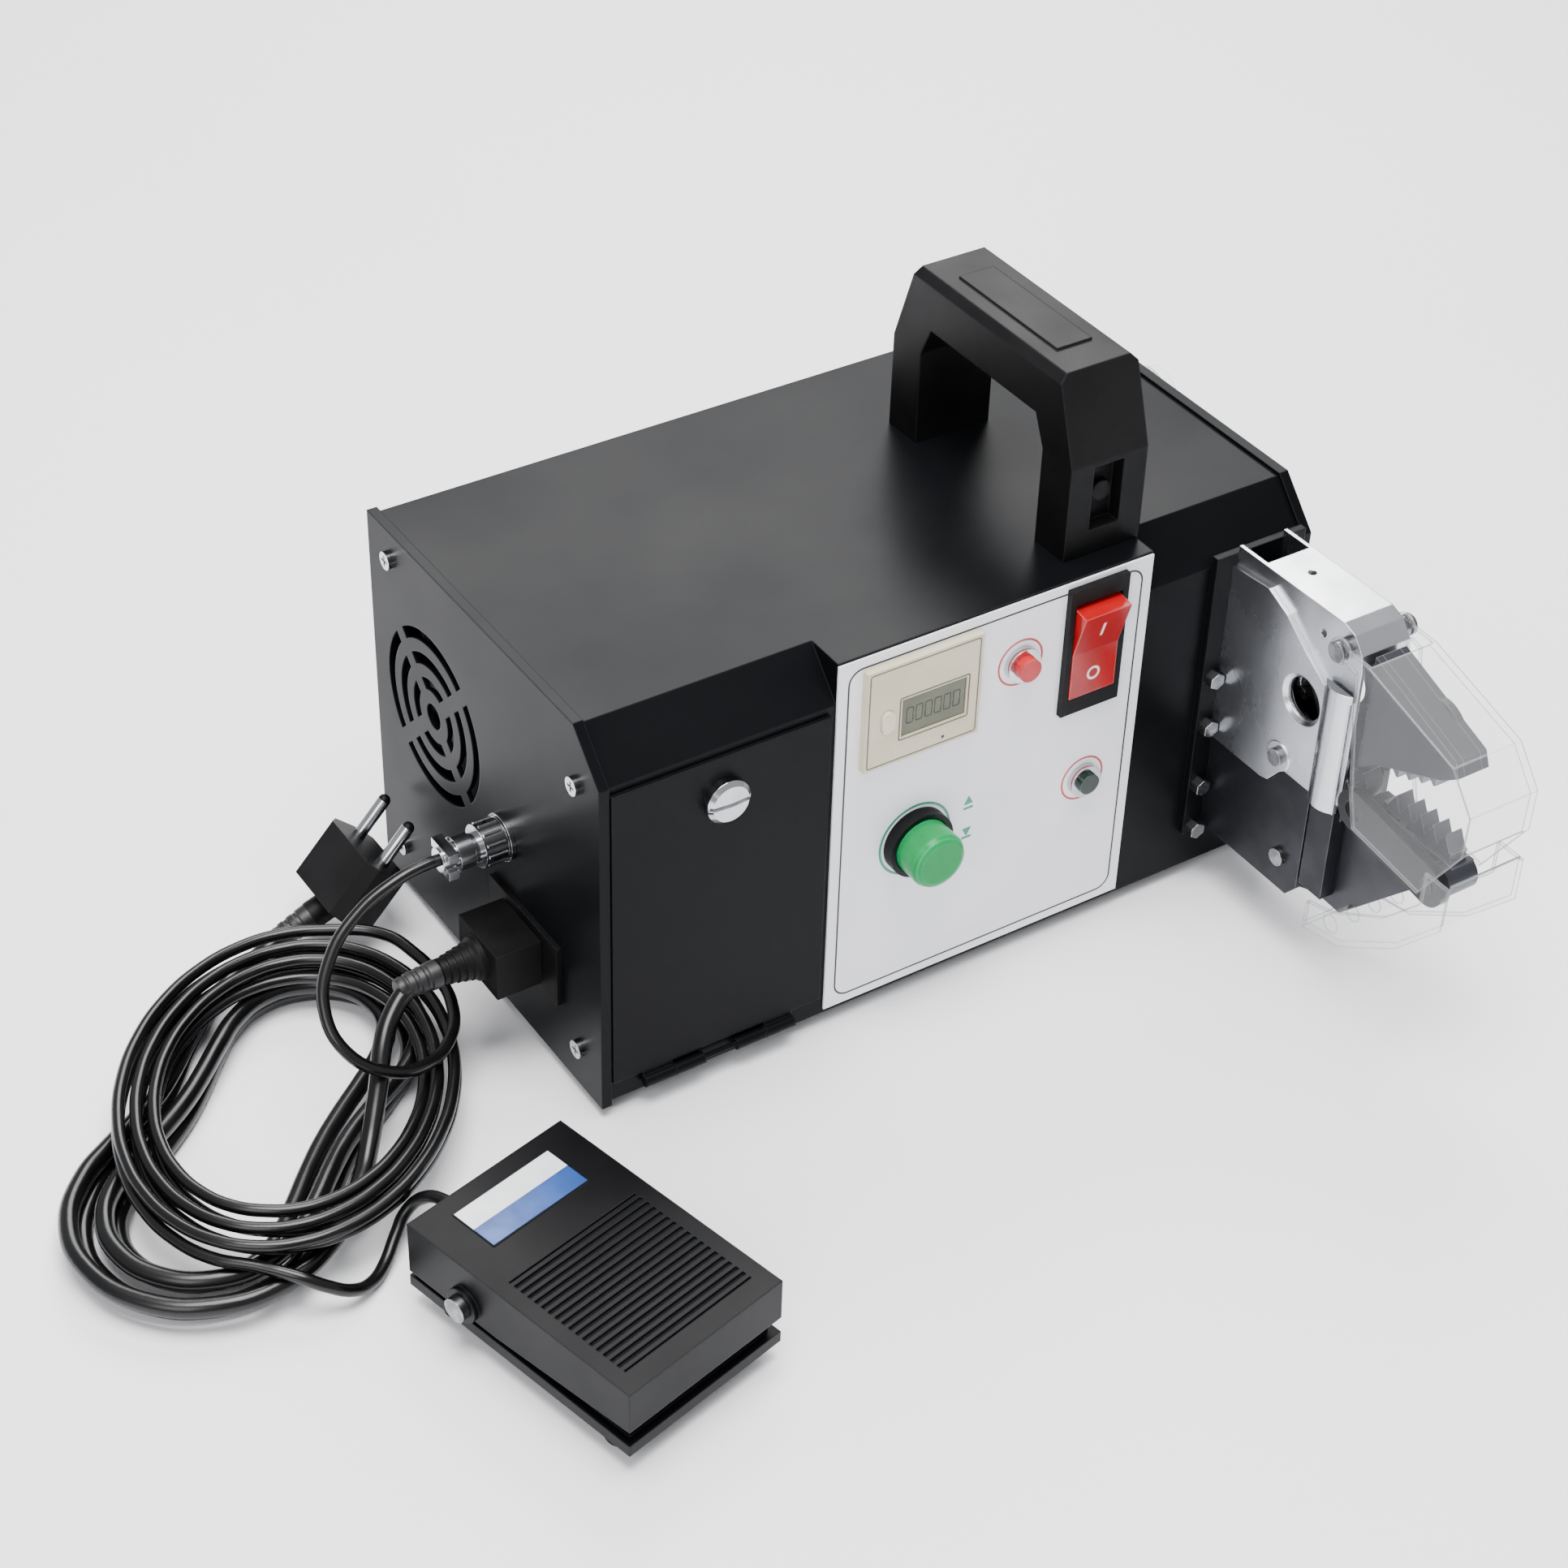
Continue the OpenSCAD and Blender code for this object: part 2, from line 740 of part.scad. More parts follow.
module fan_rotor() {
    rotor_len = fan_depth - fan_plate_t * 2 - gap;
    color([0.12, 0.12, 0.13]) difference() {
        translate([-inner_x + fan_plate_t, fan_y, fan_z]) {
            rotate([0, 90, 0]) cylinder(h = rotor_len, r = fan_hub_r);
            for (i = [0:fan_blades - 1]) rotate([i * 360 / fan_blades, 0, 0])
                translate([rotor_len / 2, 0, (fan_hub_r + fan_bore_r - fan_tip_gap) / 2])
                    rotate([0, 0, fan_blade_tilt])
                        cube([fan_blade_w, fan_blade_t, fan_bore_r - fan_tip_gap - fan_hub_r
                            + fan_blade_t], center = true);
        }
        rod_x(-inner_x, fan_depth, [fan_y, fan_z], fan_spindle_r + fit);
    }
}

module carry_handle() {
    z0 = case_top;
    z1 = case_top + handle_h * handle_knee_share;
    z2 = case_top + handle_h;
    bar = handle_h * handle_bar_share;
    sh = handle_l * handle_shift_share;
    y0 = handle_y - handle_l / 2;
    y1 = handle_y + handle_l / 2;
    x0 = handle_x - handle_w / 2;
    color([0.06, 0.06, 0.065]) difference() {
        union() {
            intersection() {
                along_x(x0, handle_w) difference() {
                    polygon([[y0, z0], [y0, z1], [y0 + sh, z2], [y1 - sh, z2], [y1, z1], [y1, z0]]);
                    polygon([[y0 + handle_t, z0 - over], [y0 + handle_t, z1],
                        [y0 + handle_t + sh / 2, z2 - bar], [y1 - handle_t - sh / 2, z2 - bar],
                        [y1 - handle_t, z1], [y1 - handle_t, z0 - over]]);
                }
                along_y(y0 - over, handle_l + over * 2)
                    polygon([[x0, z0], [x0, z2 - handle_bevel], [x0 + handle_bevel, z2],
                        [x0 + handle_w - handle_bevel, z2], [x0 + handle_w, z2 - handle_bevel],
                        [x0 + handle_w, z0]]);
            }
            box([handle_x - handle_inlay_w / 2, handle_y - handle_inlay_l / 2, z2 - over],
                [handle_x + handle_inlay_w / 2, handle_y + handle_inlay_l / 2,
                    z2 + handle_inlay_t]);
        }
        for (m = [0, 1]) translate([0, handle_y * 2 * m, 0]) mirror([0, m, 0]) {
            box([handle_x - handle_pocket_w / 2, y0 - over, z0 + handle_pocket_z],
                [handle_x + handle_pocket_w / 2, y0 + handle_pocket_d,
                    z0 + handle_pocket_z + handle_pocket_h]);
        }
    }
    color([0.2, 0.2, 0.21]) for (m = [0, 1]) translate([0, handle_y * 2 * m, 0])
        mirror([0, m, 0]) rod_y(y0 + handle_pocket_d - handle_screw_h, handle_screw_h,
            [handle_x, z0 + handle_pocket_z + handle_pocket_h / 2], handle_screw_r);
}

module side_dome() {
    color([0.85, 0.88, 0.9, 0.5]) translate([half_l, dome_y, dome_z]) rotate([0, 90, 0])
        rotate_extrude() polygon([[0, dome_ring_t], [dome_r - dome_wall, dome_ring_t],
            [dome_r - dome_wall, 0], [dome_r + dome_ring, 0], [dome_r + dome_ring, dome_ring_t],
            [dome_r, dome_ring_t], [dome_r, dome_ring_t + dome_len],
            [dome_r * 0.8, dome_ring_t + dome_len * 1.35],
            [dome_r * 0.45, dome_ring_t + dome_len * 1.6], [0, dome_ring_t + dome_len * 1.7]]);
}

hinge_y = front_y - knuckle_r;
hinge_z = door_z - knuckle_r / 2;
lock_x = door_x + lock_dx;
lock_z = door_z + door_h - lock_drop;

module access_door() {
    color([0.07, 0.07, 0.075]) difference() {
        union() {
            box([door_x, front_y - door_gap - door_t, door_z + knuckle_r * 1.3],
                [door_x + door_w, front_y - door_gap, door_z + door_h]);
            for (x = [door_x + knuckle_in, door_x + door_w - knuckle_in - knuckle_len]) {
                rod_x(x, knuckle_len, [hinge_y, hinge_z], knuckle_r);
                box([x, front_y - door_gap - door_t, hinge_z],
                    [x + knuckle_len, front_y - door_gap, door_z + knuckle_r * 1.3]);
            }
        }
        rod_x(door_x - over, door_w + over * 2, [hinge_y, hinge_z], knuckle_pin_r + fit);
        rod_y(front_y - door_gap - door_t - over, door_t + over * 2, [lock_x, lock_z],
            lock_shank_r + fit);
    }
}

module door_lock() {
    y1 = front_y - door_gap - door_t;
    ty = front_y + sheet_t + lock_grip;
    color([0.82, 0.82, 0.83]) {
        difference() {
            translate([lock_x, y1 - fit, lock_z]) rotate([90, 0, 0]) rotate_extrude()
                polygon([[0, 0], [lock_r, 0], [lock_r, lock_h - lock_round],
                    [lock_r - lock_round, lock_h], [0, lock_h + lock_round / 3]]);
            translate([lock_x, y1 - lock_h - lock_round, lock_z])
                cube([lock_r * 2, (lock_slot_depth + lock_round) * 2, lock_slot_w], center = true);
        }
        rod_y(y1 - fit * 2, ty + lock_tongue_t - y1 + fit * 2, [lock_x, lock_z], lock_shank_r);
        box([lock_x - lock_tongue_w / 2, ty, lock_z - lock_tongue_w / 2],
            [lock_x + lock_tongue_l, ty + lock_tongue_t, lock_z + lock_tongue_w / 2]);
    }
}

module counter_housing() {
    cw = counter_w - counter_body_in * 2;
    ch = counter_h - counter_body_in * 2;
    color([0.78, 0.74, 0.62]) difference() {
        union() {
            cut_y(counter_x, counter_z, counter_w, counter_h, panel_face - counter_t, counter_t);
            cut_y(counter_x, counter_z, cw, ch, panel_face - counter_t, counter_depth);
        }
        cut_y(window_x, window_z, window_w, window_h, panel_face - counter_t - over,
            over + window_pocket);
        rod_y(panel_face - counter_t - over, over + creset_t, [creset_x, creset_z + creset_h / 2
            - creset_w / 2], creset_w / 2 + fit * 2);
        rod_y(panel_face - counter_t - over, over + creset_t, [creset_x, creset_z - creset_h / 2
            + creset_w / 2], creset_w / 2 + fit * 2);
        cut_y(creset_x, creset_z, creset_w + fit * 4, creset_h - creset_w,
            panel_face - counter_t - over, over + creset_t);
    }
}

module counter_window() {
    color([0.35, 0.38, 0.28]) cut_y(window_x, window_z, window_w - gap, window_h - gap,
        panel_face - counter_t + window_pocket - window_t, window_t);
}

module counter_reset() {
    y = panel_face - counter_t - creset_out;
    len = creset_t + creset_out - small_travel - gap;
    color([0.82, 0.79, 0.68]) {
        for (s = [-1, 1])
            rod_y(y, len, [creset_x, creset_z + s * (creset_h - creset_w) / 2], creset_w / 2);
        cut_y(creset_x, creset_z, creset_w, creset_h - creset_w, y, len);
    }
}

module bezel_ring(x, z, r) {
    difference() {
        union() {
            rod_y(panel_face - bush_h, bush_h, [x, z], r + bush_rim);
            rod_y(panel_face - over, over + bush_depth, [x, z], r + bush_wall + fit);
        }
        rod_y(panel_face - bush_h - over, bush_h + over + button_depth + small_travel
            + gap, [x, z], r + fit);
    }
}

module overload_bushing() {
    color([0.75, 0.75, 0.76]) bezel_ring(overload_x, overload_z, reset_r);
}

module overload_button() {
    color([0.75, 0.08, 0.08]) rod_y(panel_face - bush_h - reset_out,
        bush_h + reset_out + button_depth, [overload_x, overload_z], reset_r);
}

module lamp_bezel() {
    color([0.6, 0.6, 0.61]) bezel_ring(lamp_x, lamp_z, lamp_r);
}

module lamp_button() {
    color([0.07, 0.1, 0.08]) rod_y(panel_face - bush_h - lamp_out,
        bush_h + lamp_out + button_depth, [lamp_x, lamp_z], lamp_r);
}

module button_bezel() {
    hole = push_r - push_neck;
    color([0.06, 0.06, 0.06]) difference() {
        union() {
            rod_y(panel_face - push_ring_h, push_ring_h, [push_x, push_z],
                push_r + gap + push_ring_w);
            rod_y(panel_face - over, over + push_depth, [push_x, push_z], push_r - gap);
        }
        rod_y(panel_face - push_ring_h - over, over + push_travel + gap, [push_x, push_z],
            push_r + gap);
        rod_y(panel_face - push_ring_h, push_ring_h + push_depth - sheet_t, [push_x, push_z],
            hole + fit);
    }
}

module push_button() {
    y = panel_face - push_ring_h;
    color([0.05, 0.62, 0.42]) {
        translate([push_x, y, push_z]) rotate([90, 0, 0]) rotate_extrude()
            polygon([[0, 0], [push_r, 0], [push_r, push_out - push_round],
                [push_r - push_round / 3, push_out - push_round / 3],
                [push_r - push_round, push_out], [0, push_out]]);
        rod_y(y - over, over + push_ring_h + push_depth - sheet_t - push_travel - gap,
            [push_x, push_z], push_r - push_neck);
    }
}

rocker_y = panel_face - rocker_t + rocker_face - gap;

module rocker_bezel() {
    w = rocker_w - rocker_rim - rocker_wall * 2;
    h = (rocker_half_h + rocker_swing) * 2;
    color([0.05, 0.05, 0.05]) difference() {
        union() {
            cut_y(rocker_x, rocker_z, rocker_w, rocker_h, panel_face - rocker_t, rocker_t);
            cut_y(rocker_x, rocker_z, rocker_w - rocker_rim, rocker_h - rocker_rim,
                panel_face - over, over + rocker_depth);
        }
        cut_y(rocker_x, rocker_z, w, h, panel_face - rocker_t - over,
            rocker_t + over + rocker_depth - rocker_wall);
    }
    for (s = [0, 1]) translate([rocker_x * 2 * s, 0, 0]) mirror([s, 0, 0])
        rod_x(rocker_x - w / 2 - over, over + rocker_wall, [rocker_y, rocker_z], knuckle_pin_r);
}

module rocker_paddle() {
    w = rocker_w - rocker_rim - rocker_wall * 2 - gap * 2;
    color([0.78, 0.06, 0.07]) translate([rocker_x, rocker_y, rocker_z])
        rotate([rocker_tilt, 0, 0]) difference() {
            along_x(-w / 2, w) polygon([[-rocker_face - rocker_vee, rocker_half_h],
                [-rocker_face, 0], [-rocker_face - rocker_vee, -rocker_half_h],
                [0, -rocker_half_h], [rocker_back, -rocker_half_h / 2],
                [rocker_back, rocker_half_h / 2], [0, rocker_half_h]]);
            for (s = [-1, 1]) rod_x(s * w / 2 - over * 2, over * 4, [0, 0], knuckle_pin_r + fit);
        }
}

module inlet_socket() {
    color([0.05, 0.05, 0.05]) difference() {
        union() {
            box([-half_l - inlet_t, inlet_y - inlet_w / 2, inlet_z - inlet_h / 2],
                [-half_l, inlet_y + inlet_w / 2, inlet_z + inlet_h / 2]);
            box([-half_l - over, inlet_y - inlet_cut_w / 2, inlet_z - inlet_cut_h / 2],
                [-half_l + inlet_depth, inlet_y + inlet_cut_w / 2, inlet_z + inlet_cut_h / 2]);
        }
        box([-half_l - inlet_t - over, inlet_y - inlet_cut_w / 2 + inlet_wall,
                inlet_z - inlet_cut_h / 2 + inlet_wall],
            [-half_l + inlet_depth - inlet_wall, inlet_y + inlet_cut_w / 2 - inlet_wall,
                inlet_z + inlet_cut_h / 2 - inlet_wall]);
    }
    for (y = [-1, 0, 1]) translate([0, inlet_y + y * inlet_cut_w / 5, 0])
        box([-half_l, -slot_w, inlet_z - slot_w * 2],
            [-half_l + inlet_depth - inlet_wall + over, slot_w, inlet_z + slot_w * 2]);
}

module mains_connector() {
    cw = inlet_cut_w - inlet_wall * 2 - conn_gap * 2;
    ch = inlet_cut_h - inlet_wall * 2 - conn_gap * 2;
    x0 = -half_l - inlet_t;
    color([0.06, 0.06, 0.06]) {
        difference() {
            union() {
                box([x0 - conn_len, inlet_y - cw / 2, inlet_z - ch / 2],
                    [-half_l + inlet_depth / 2, inlet_y + cw / 2, inlet_z + ch / 2]);
                box([x0 - conn_len, inlet_y - cw / 2 - slot_w, inlet_z - ch / 2 - slot_w],
                    [x0 - conn_gap, inlet_y + cw / 2 + slot_w, inlet_z + ch / 2 + slot_w]);
            }
            for (y = [-1, 0, 1]) translate([0, inlet_y + y * inlet_cut_w / 5, 0])
                box([-half_l - over * 2, -slot_w - gap, inlet_z - slot_w * 2 - gap],
                    [-half_l + inlet_depth, slot_w + gap, inlet_z + slot_w * 2 + gap]);
        }
        translate([x0 - conn_len, inlet_y, inlet_z]) rotate([0, -90, 0]) {
            rotate_extrude() polygon([[0, -over], [conn_boot_r * 1.25, -over],
                [conn_boot_r * 1.25, conn_rib_w], [conn_boot_r, conn_rib_w * 2],
                [mains_cord_d / 2 + slot_w / 2, conn_boot_len], [0, conn_boot_len]]);
            for (i = [1:conn_ribs]) translate([0, 0, i * conn_boot_len / (conn_ribs + 1)])
                cylinder(h = conn_rib_w, r = conn_boot_r + slot_w
                    - i * (conn_boot_r - mains_cord_d / 2) / (conn_ribs + 1));
        }
    }
}

module round_socket() {
    color([0.78, 0.78, 0.79]) {
        difference() {
            union() {
                rod_x(-half_l - socket_flange_t, socket_flange_t, [socket_y, socket_z],
                    socket_flange_r);
                rod_x(-half_l - socket_out, socket_out + socket_in, [socket_y, socket_z],
                    socket_r);
            }
            rod_x(-half_l - socket_out - over, socket_out + over + socket_in / 2,
                [socket_y, socket_z], socket_bore_r);
        }
        for (i = [0:plug_pins - 1]) translate([0, socket_y, socket_z])
            rotate([i * 360 / plug_pins, 0, 0])
                rod_x(-half_l - socket_out / 2, socket_out / 2 + socket_in / 2 + over,
                    [plug_pin_ring, 0], plug_pin_r);
    }
}

nut_x = -half_l - socket_flange_t - gap - nut_len;

module coupling_nut() {
    color([0.82, 0.82, 0.83]) difference() {
        union() {
            rod_x(nut_x, nut_len, [socket_y, socket_z], nut_r);
            for (i = [0:nut_teeth - 1]) translate([0, socket_y, socket_z])
                rotate([i * 360 / nut_teeth, 0, 0])
                    rod_x(nut_x + slot_w, nut_len - slot_w * 2, [nut_r, 0], slot_w / 2);
        }
        rod_x(nut_x + slot_w * 2, nut_len, [socket_y, socket_z], socket_r + fit);
        rod_x(nut_x - over, nut_len, [socket_y, socket_z], plug_neck_r + fit);
    }
}

plug_end = nut_x - plug_neck_len / 2 - plug_clamp_len;

module round_plug() {
    color([0.8, 0.8, 0.81]) difference() {
        union() {
            rod_x(plug_end + plug_clamp_len, nut_x - plug_end - plug_clamp_len + slot_w * 2
                - fit, [socket_y, socket_z], plug_neck_r);
            rod_x(plug_end + plug_clamp_len, -half_l - plug_end - plug_clamp_len,
                [socket_y, socket_z], plug_core_r);
            rod_x(plug_end + plug_clamp_len / 2, plug_clamp_len / 2, [socket_y, socket_z],
                plug_clamp_r);
            rod_x(plug_end, plug_clamp_len / 2, [socket_y, socket_z], plug_core_r + slot_w);
            for (s = [-1, 1]) translate([plug_end + plug_clamp_len / 4, socket_y,
                    socket_z + s * plug_core_r])
                cube([plug_clamp_len / 3, plug_clamp_r * 2, plug_core_r], center = true);
        }
        for (i = [0:plug_pins - 1]) translate([0, socket_y, socket_z])
            rotate([i * 360 / plug_pins, 0, 0])
                rod_x(-half_l - socket_out, socket_out + over, [plug_pin_ring, 0],
                    plug_pin_r + fit * 2);
    }
}

mplug_boot_at = [-mplug_x - mplug_len * cos(mplug_tilt), mplug_y,
    mplug_z - mplug_len * sin(mplug_tilt)];
mplug_out = [-cos(mplug_boot_dip), 0, -sin(mplug_boot_dip)];

module mains_plug() {
    color([0.06, 0.06, 0.06]) {
        translate([-mplug_x, mplug_y, mplug_z]) rotate([0, -mplug_tilt - 90, 0])
            linear_extrude(mplug_len) intersection() {
                square([mplug_t, mplug_w], center = true);
                rotate(45) square((mplug_t + mplug_w) / sqrt(2) - mplug_nose, center = true);
            }
        translate(mplug_boot_at - mplug_out * mplug_boot_r / 2)
            rotate([0, -90 - mplug_boot_dip, 0])
                cylinder(h = mplug_boot_len + mplug_boot_r / 2, r = mplug_boot_r);
    }
    color([0.8, 0.8, 0.8]) for (s = [-1, 1])
        translate([-mplug_x, mplug_y + s * mplug_pin_span / 2, mplug_z])
            rotate([0, 90 - mplug_tilt, 0]) {
                translate([0, 0, -over]) cylinder(h = mplug_pin_len + over - mplug_pin_r,
                    r = mplug_pin_r);
                translate([0, 0, mplug_pin_len - mplug_pin_r]) sphere(r = mplug_pin_r);
            }
}

module drive_motor() {
    x1 = head_x - plate_near;
    color([0.35, 0.35, 0.37]) {
        difference() {
            rod_x(x1 - gearbox_len, gearbox_len, [pinion_y, drive_z], gearbox_r);
            rod_x(x1 - drive_shaft_r * 2, drive_shaft_r * 2 + over, [pinion_y, drive_z],
                drive_shaft_r + fit);
        }
        rod_x(x1 - gearbox_len - motor_len, motor_len, [pinion_y, drive_z], motor_r);
    }
}

function gear_pts(n, m) = [for (i = [0:n - 1], k = [0:3])
    let (root = m * (n / 2 - gear_root_share), tip = m * (n / 2 + gear_tip_share),
        r = (k == 0 || k == 3) ? root : tip,
        w = (k == 0 || k == 3) ? m * (0.5 + gear_flank_share) : m * gear_flank_share * 1.6,
        a = i * 360 / n + (k < 2 ? -1 : 1) * w / r * 90 / 2)
    [r * cos(a), r * sin(a)]];

module drive_pinion() {
    color([0.6, 0.6, 0.62]) {
        translate([0, pinion_y, drive_z])
            along_x(head_x + gear_x - pinion_over, gear_w + pinion_over * 2)
                rotate(180) polygon(gear_pts(pinion_n, gear_mod));
        rod_x(head_x - plate_near - drive_shaft_r, plate_near + plate_far + drive_shaft_r
            + plate_t - gap, [pinion_y, drive_z], drive_shaft_r);
    }
}

function cam_radius(a) = a > 180 - cam_turn ? cam_base_r + ram_stroke * (180 - a) / cam_turn :
    (a > -170 ? cam_base_r + ram_stroke * (a + 170) / (350 - cam_turn) : cam_base_r);
cam_steps = 72;

module camshaft() {
    color([0.55, 0.55, 0.57]) {
        translate([0, cam_y, drive_z]) {
            along_x(head_x - cam_half, cam_half * 2) polygon([for (i = [0:cam_steps - 1])
                let (a = 180 - i * 360 / cam_steps) cam_radius(a) * [cos(a), sin(a)]]);
            along_x(head_x + gear_x, gear_w) rotate(360 / cam_gear_n / 2)
                polygon(gear_pts(cam_gear_n, gear_mod));
        }
        rod_x(head_x - plate_near, plate_near + plate_far + plate_t - gap,
            [cam_y, drive_z], shaft_r);
    }
}

module chassis_plates() {
    y0 = front_y + plate_front;
    y1 = y0 + plate_back;
    color([0.45, 0.46, 0.48]) {
        for (x = [head_x - plate_near, head_x + plate_far]) difference() {
            box([x, y0, foot_h + sheet_t], [x + plate_t, y1, case_top - plate_top_gap]);
            rod_x(x - over, plate_t + over * 2, [cam_y, drive_z], shaft_r + fit);
            rod_x(x - over, plate_t + over * 2, [pinion_y, drive_z], drive_shaft_r + fit);
        }
        for (y = [y0 + spacer_r * 2, y1 - spacer_r * 2], z = [0, 1])
            rod_x(head_x - plate_near + plate_t, plate_near + plate_far - plate_t,
                [y, foot_h + spacer_r * 4 + z * case_h / 4], spacer_r);
    }
}

ram_face = at(roller_shares)[0] + lever_r + ram_gap;
ram_back = cam_y - cam_base_r - cam_gap - cam_roller_r;
slot_half = cam_half + gap + 0.2;

module ram() {
    front = ram_face;
    color([0.68, 0.68, 0.7]) {
        difference() {
            union() {
                rod_y(front, ram_back - front - cam_roller_r * 2, [head_x, drive_z], ram_r);
                box([head_x - ram_r, ram_back - cam_roller_r * 2, drive_z - ram_r],
                    [head_x + ram_r, ram_back + cam_roller_r / 2, drive_z + ram_r]);
                box([head_x - ram_head_half, front, drive_z - ram_r * 1.25],
                    [head_x + ram_head_half, front + ram_head_len, drive_z + ram_r * 1.75]);
            }
            box([head_x - slot_half, ram_back - cam_roller_r - cam_gap - ram_stroke / 8,
                    drive_z - ram_r - over],
                [head_x + slot_half, ram_back + cam_roller_r, drive_z + ram_r + over]);
        }
        rod_x(head_x - ram_r, ram_r * 2, [ram_back, drive_z], cam_roller_r / 2);
        rod_x(head_x - cam_half, cam_half * 2, [ram_back, drive_z], cam_roller_r);
    }
}

module head_flange() {
    color([0.08, 0.08, 0.085]) difference() {
        box([head_x - flange_half, head_y, foot_h + flange_low],
            [head_x + flange_half, front_y, foot_h + flange_high]);
        rod_y(head_y - over, flange_t + over * 2, [head_x, drive_z], bush_r + fit);
        for (z = bolt_z_shares, s = [-1, 1]) rod_y(head_y - over, flange_t + over * 2,
            [head_x + s * bolt_off, foot_h + z * head_size], bolt_shank_r + fit);
    }
}

module head_bolts() {
    color([0.78, 0.78, 0.79]) {
        for (z = bolt_z_shares, s = [-1, 1])
            translate([head_x + s * bolt_off, head_y, foot_h + z * head_size])
                rotate([90, 0, 0]) {
                    rotate(30) cylinder(h = bolt_head_h, r = bolt_head_r, $fn = 6);
                    translate([0, 0, -bolt_len]) cylinder(h = bolt_len + over,
                        r = bolt_shank_r);
                }
        both_sides() {
            x0 = mid_x(cover_half * 2);
            guard_screw(x0, at(guard_pivot_shares));
            rod_x(x0 - zinc_t - lobe_t - screw_h, screw_h, at(lobe_screw_shares), screw_r);
            rod_x(mid_x(low_half * 2) - low_t - screw_h, screw_h, at(low_screw_shares), screw_r);
        }
    }
}

// Guard screw: spacer against the head cover, shank through the pane, head outside it
module guard_screw(x0, p) {
    pane = head_x - guard_off - guard_t;
    rod_x(pane + guard_t + fit, x0 - pane - guard_t - fit, p, guard_head_r);
    rod_x(pane - fit * 2, guard_t + fit * 4, p, guard_pin_r);
    rod_x(pane - fit - guard_head_h, guard_head_h, p, guard_head_r);
}

module ram_bush() {
    color([0.62, 0.5, 0.3]) difference() {
        union() {
            rod_y(head_y, flange_t + sheet_t + bush_tail, [head_x, drive_z], bush_r);
            rod_y(front_y + sheet_t, bush_collar_t, [head_x, drive_z], bush_collar_r);
        }
        rod_y(head_y - over, flange_t + sheet_t + bush_tail + over * 2, [head_x, drive_z],
            ram_r + fit);
    }
}

module head_frame() {
    color([0.1, 0.1, 0.11]) both_sides() {
        difference() {
            along_x(mid_x(cheek_half * 2) - cheek_t, cheek_t) difference() {
                polygon(outline(cheek_shares));
                translate(at(arm_end_shares)) circle(r = arm_r / 2);
            }
            rod_x(0, case_l, pivot, pivot_r);
        }
        along_x(mid_x(low_half * 2) - low_t, low_t) polygon(outline(low_plate_shares));
    }
    color([0.32, 0.32, 0.34]) both_sides()
        along_x(mid_x(low_half * 2) - low_t, low_t + low_half - cheek_half - cheek_t)
            polygon(outline(post_shares));
}

module head_cover() {
    x0 = head_x - cover_half;
    top = outline(cover_top_shares);
    color([0.72, 0.73, 0.74]) {
        difference() {
            both_sides() along_x(x0, cover_t) polygon(outline(cover_flange_shares));
            rod_x(0, case_l, at(side_hole_shares), screw_shank_r);
            rod_x(0, case_l, at(big_hole_shares), big_hole_r);
        }
        difference() {
            along_x(x0 + cover_t, (cover_half - cover_t) * 2)
                polygon(concat(top, flip(drop_back(top, cover_t))));
            translate([head_x, head_y - head_size * 0.27, case_top - sheet_t])
                cylinder(h = head_size, r = screw_shank_r, center = true);
        }
    }
}

module side_plates() {
    x0 = head_x - cover_half - zinc_t;
    color([0.68, 0.69, 0.7]) both_sides() difference() {
        union() {
            along_x(x0, zinc_t) polygon(outline(zinc_shares));
            intersection() {
                translate([x0 + column_r - column_out, head_y - head_size * 0.61,
                        foot_h + column_low_share * head_size])
                    cylinder(h = (column_high_share - column_low_share) * head_size,
                        r = column_r);
                box([x0 - column_out - over, head_y - head_size * 0.68,
                        foot_h + column_low_share * head_size - over],
                    [x0 + zinc_t / 2, head_y - head_size * 0.54,
                        foot_h + column_high_share * head_size + over]);
            }
            rod_x(x0 - lobe_t, lobe_t + zinc_t / 2, at(lobe_screw_shares),
                screw_r * 1.7);
        }
        rod_x(x0 - over, zinc_t + over * 2, at(big_hole_shares), big_hole_r);
        translate([x0 - fit, at(big_hole_shares)[0], at(big_hole_shares)[1]])
            rotate([0, 90, 0]) cylinder(h = big_bevel, r1 = big_hole_r + big_bevel,
                r2 = big_hole_r - fit);
    }
}

module lower_jaw() {
    color([0.3, 0.3, 0.32]) {
        difference() {
            union() {
                along_x(mid_x(block_half * 2), block_half * 2)
                    polygon(outline(block_shares));
                rod_x(mid_x(block_half * 2), block_half * 2, at(arm_pivot_shares), boss_r);
                rod_x(head_x - arm_off + gap, arm_off - gap - block_half + over,
                    at(arm_pivot_shares), boss_r);
            }
            rod_x(0, case_l, pivot, hub_r + hub_gap);
        }
        rod_x(head_x - arm_off - arm_t - gap, arm_t + gap * 2 + over, at(arm_pivot_shares),
            arm_pin_r);
    }
}

function die_pt(d, z) = at([die_shares[0] + d, pivot_shares[1] + z]);

module lower_die() {
    base = block_shares[4][1] - pivot_shares[1];
    toe = die_toe_share;
    n = die_teeth;
    color([0.4, 0.4, 0.42]) along_x(mid_x(die_half * 2), die_half * 2) polygon(concat(
        [die_pt(-toe, base), die_pt(-toe, die_valley_share)],
        [for (i = [0:n - 1], k = [0, 1]) die_pt((i + k / 2) * die_pitch_share,
            die_valley_share + k * (die_tip_share - die_valley_share))],
        [die_pt(n * die_pitch_share, die_valley_share),
            die_pt(n * die_pitch_share + toe / 2, die_valley_share),
            die_pt(n * die_pitch_share + toe / 2, base)]));
}

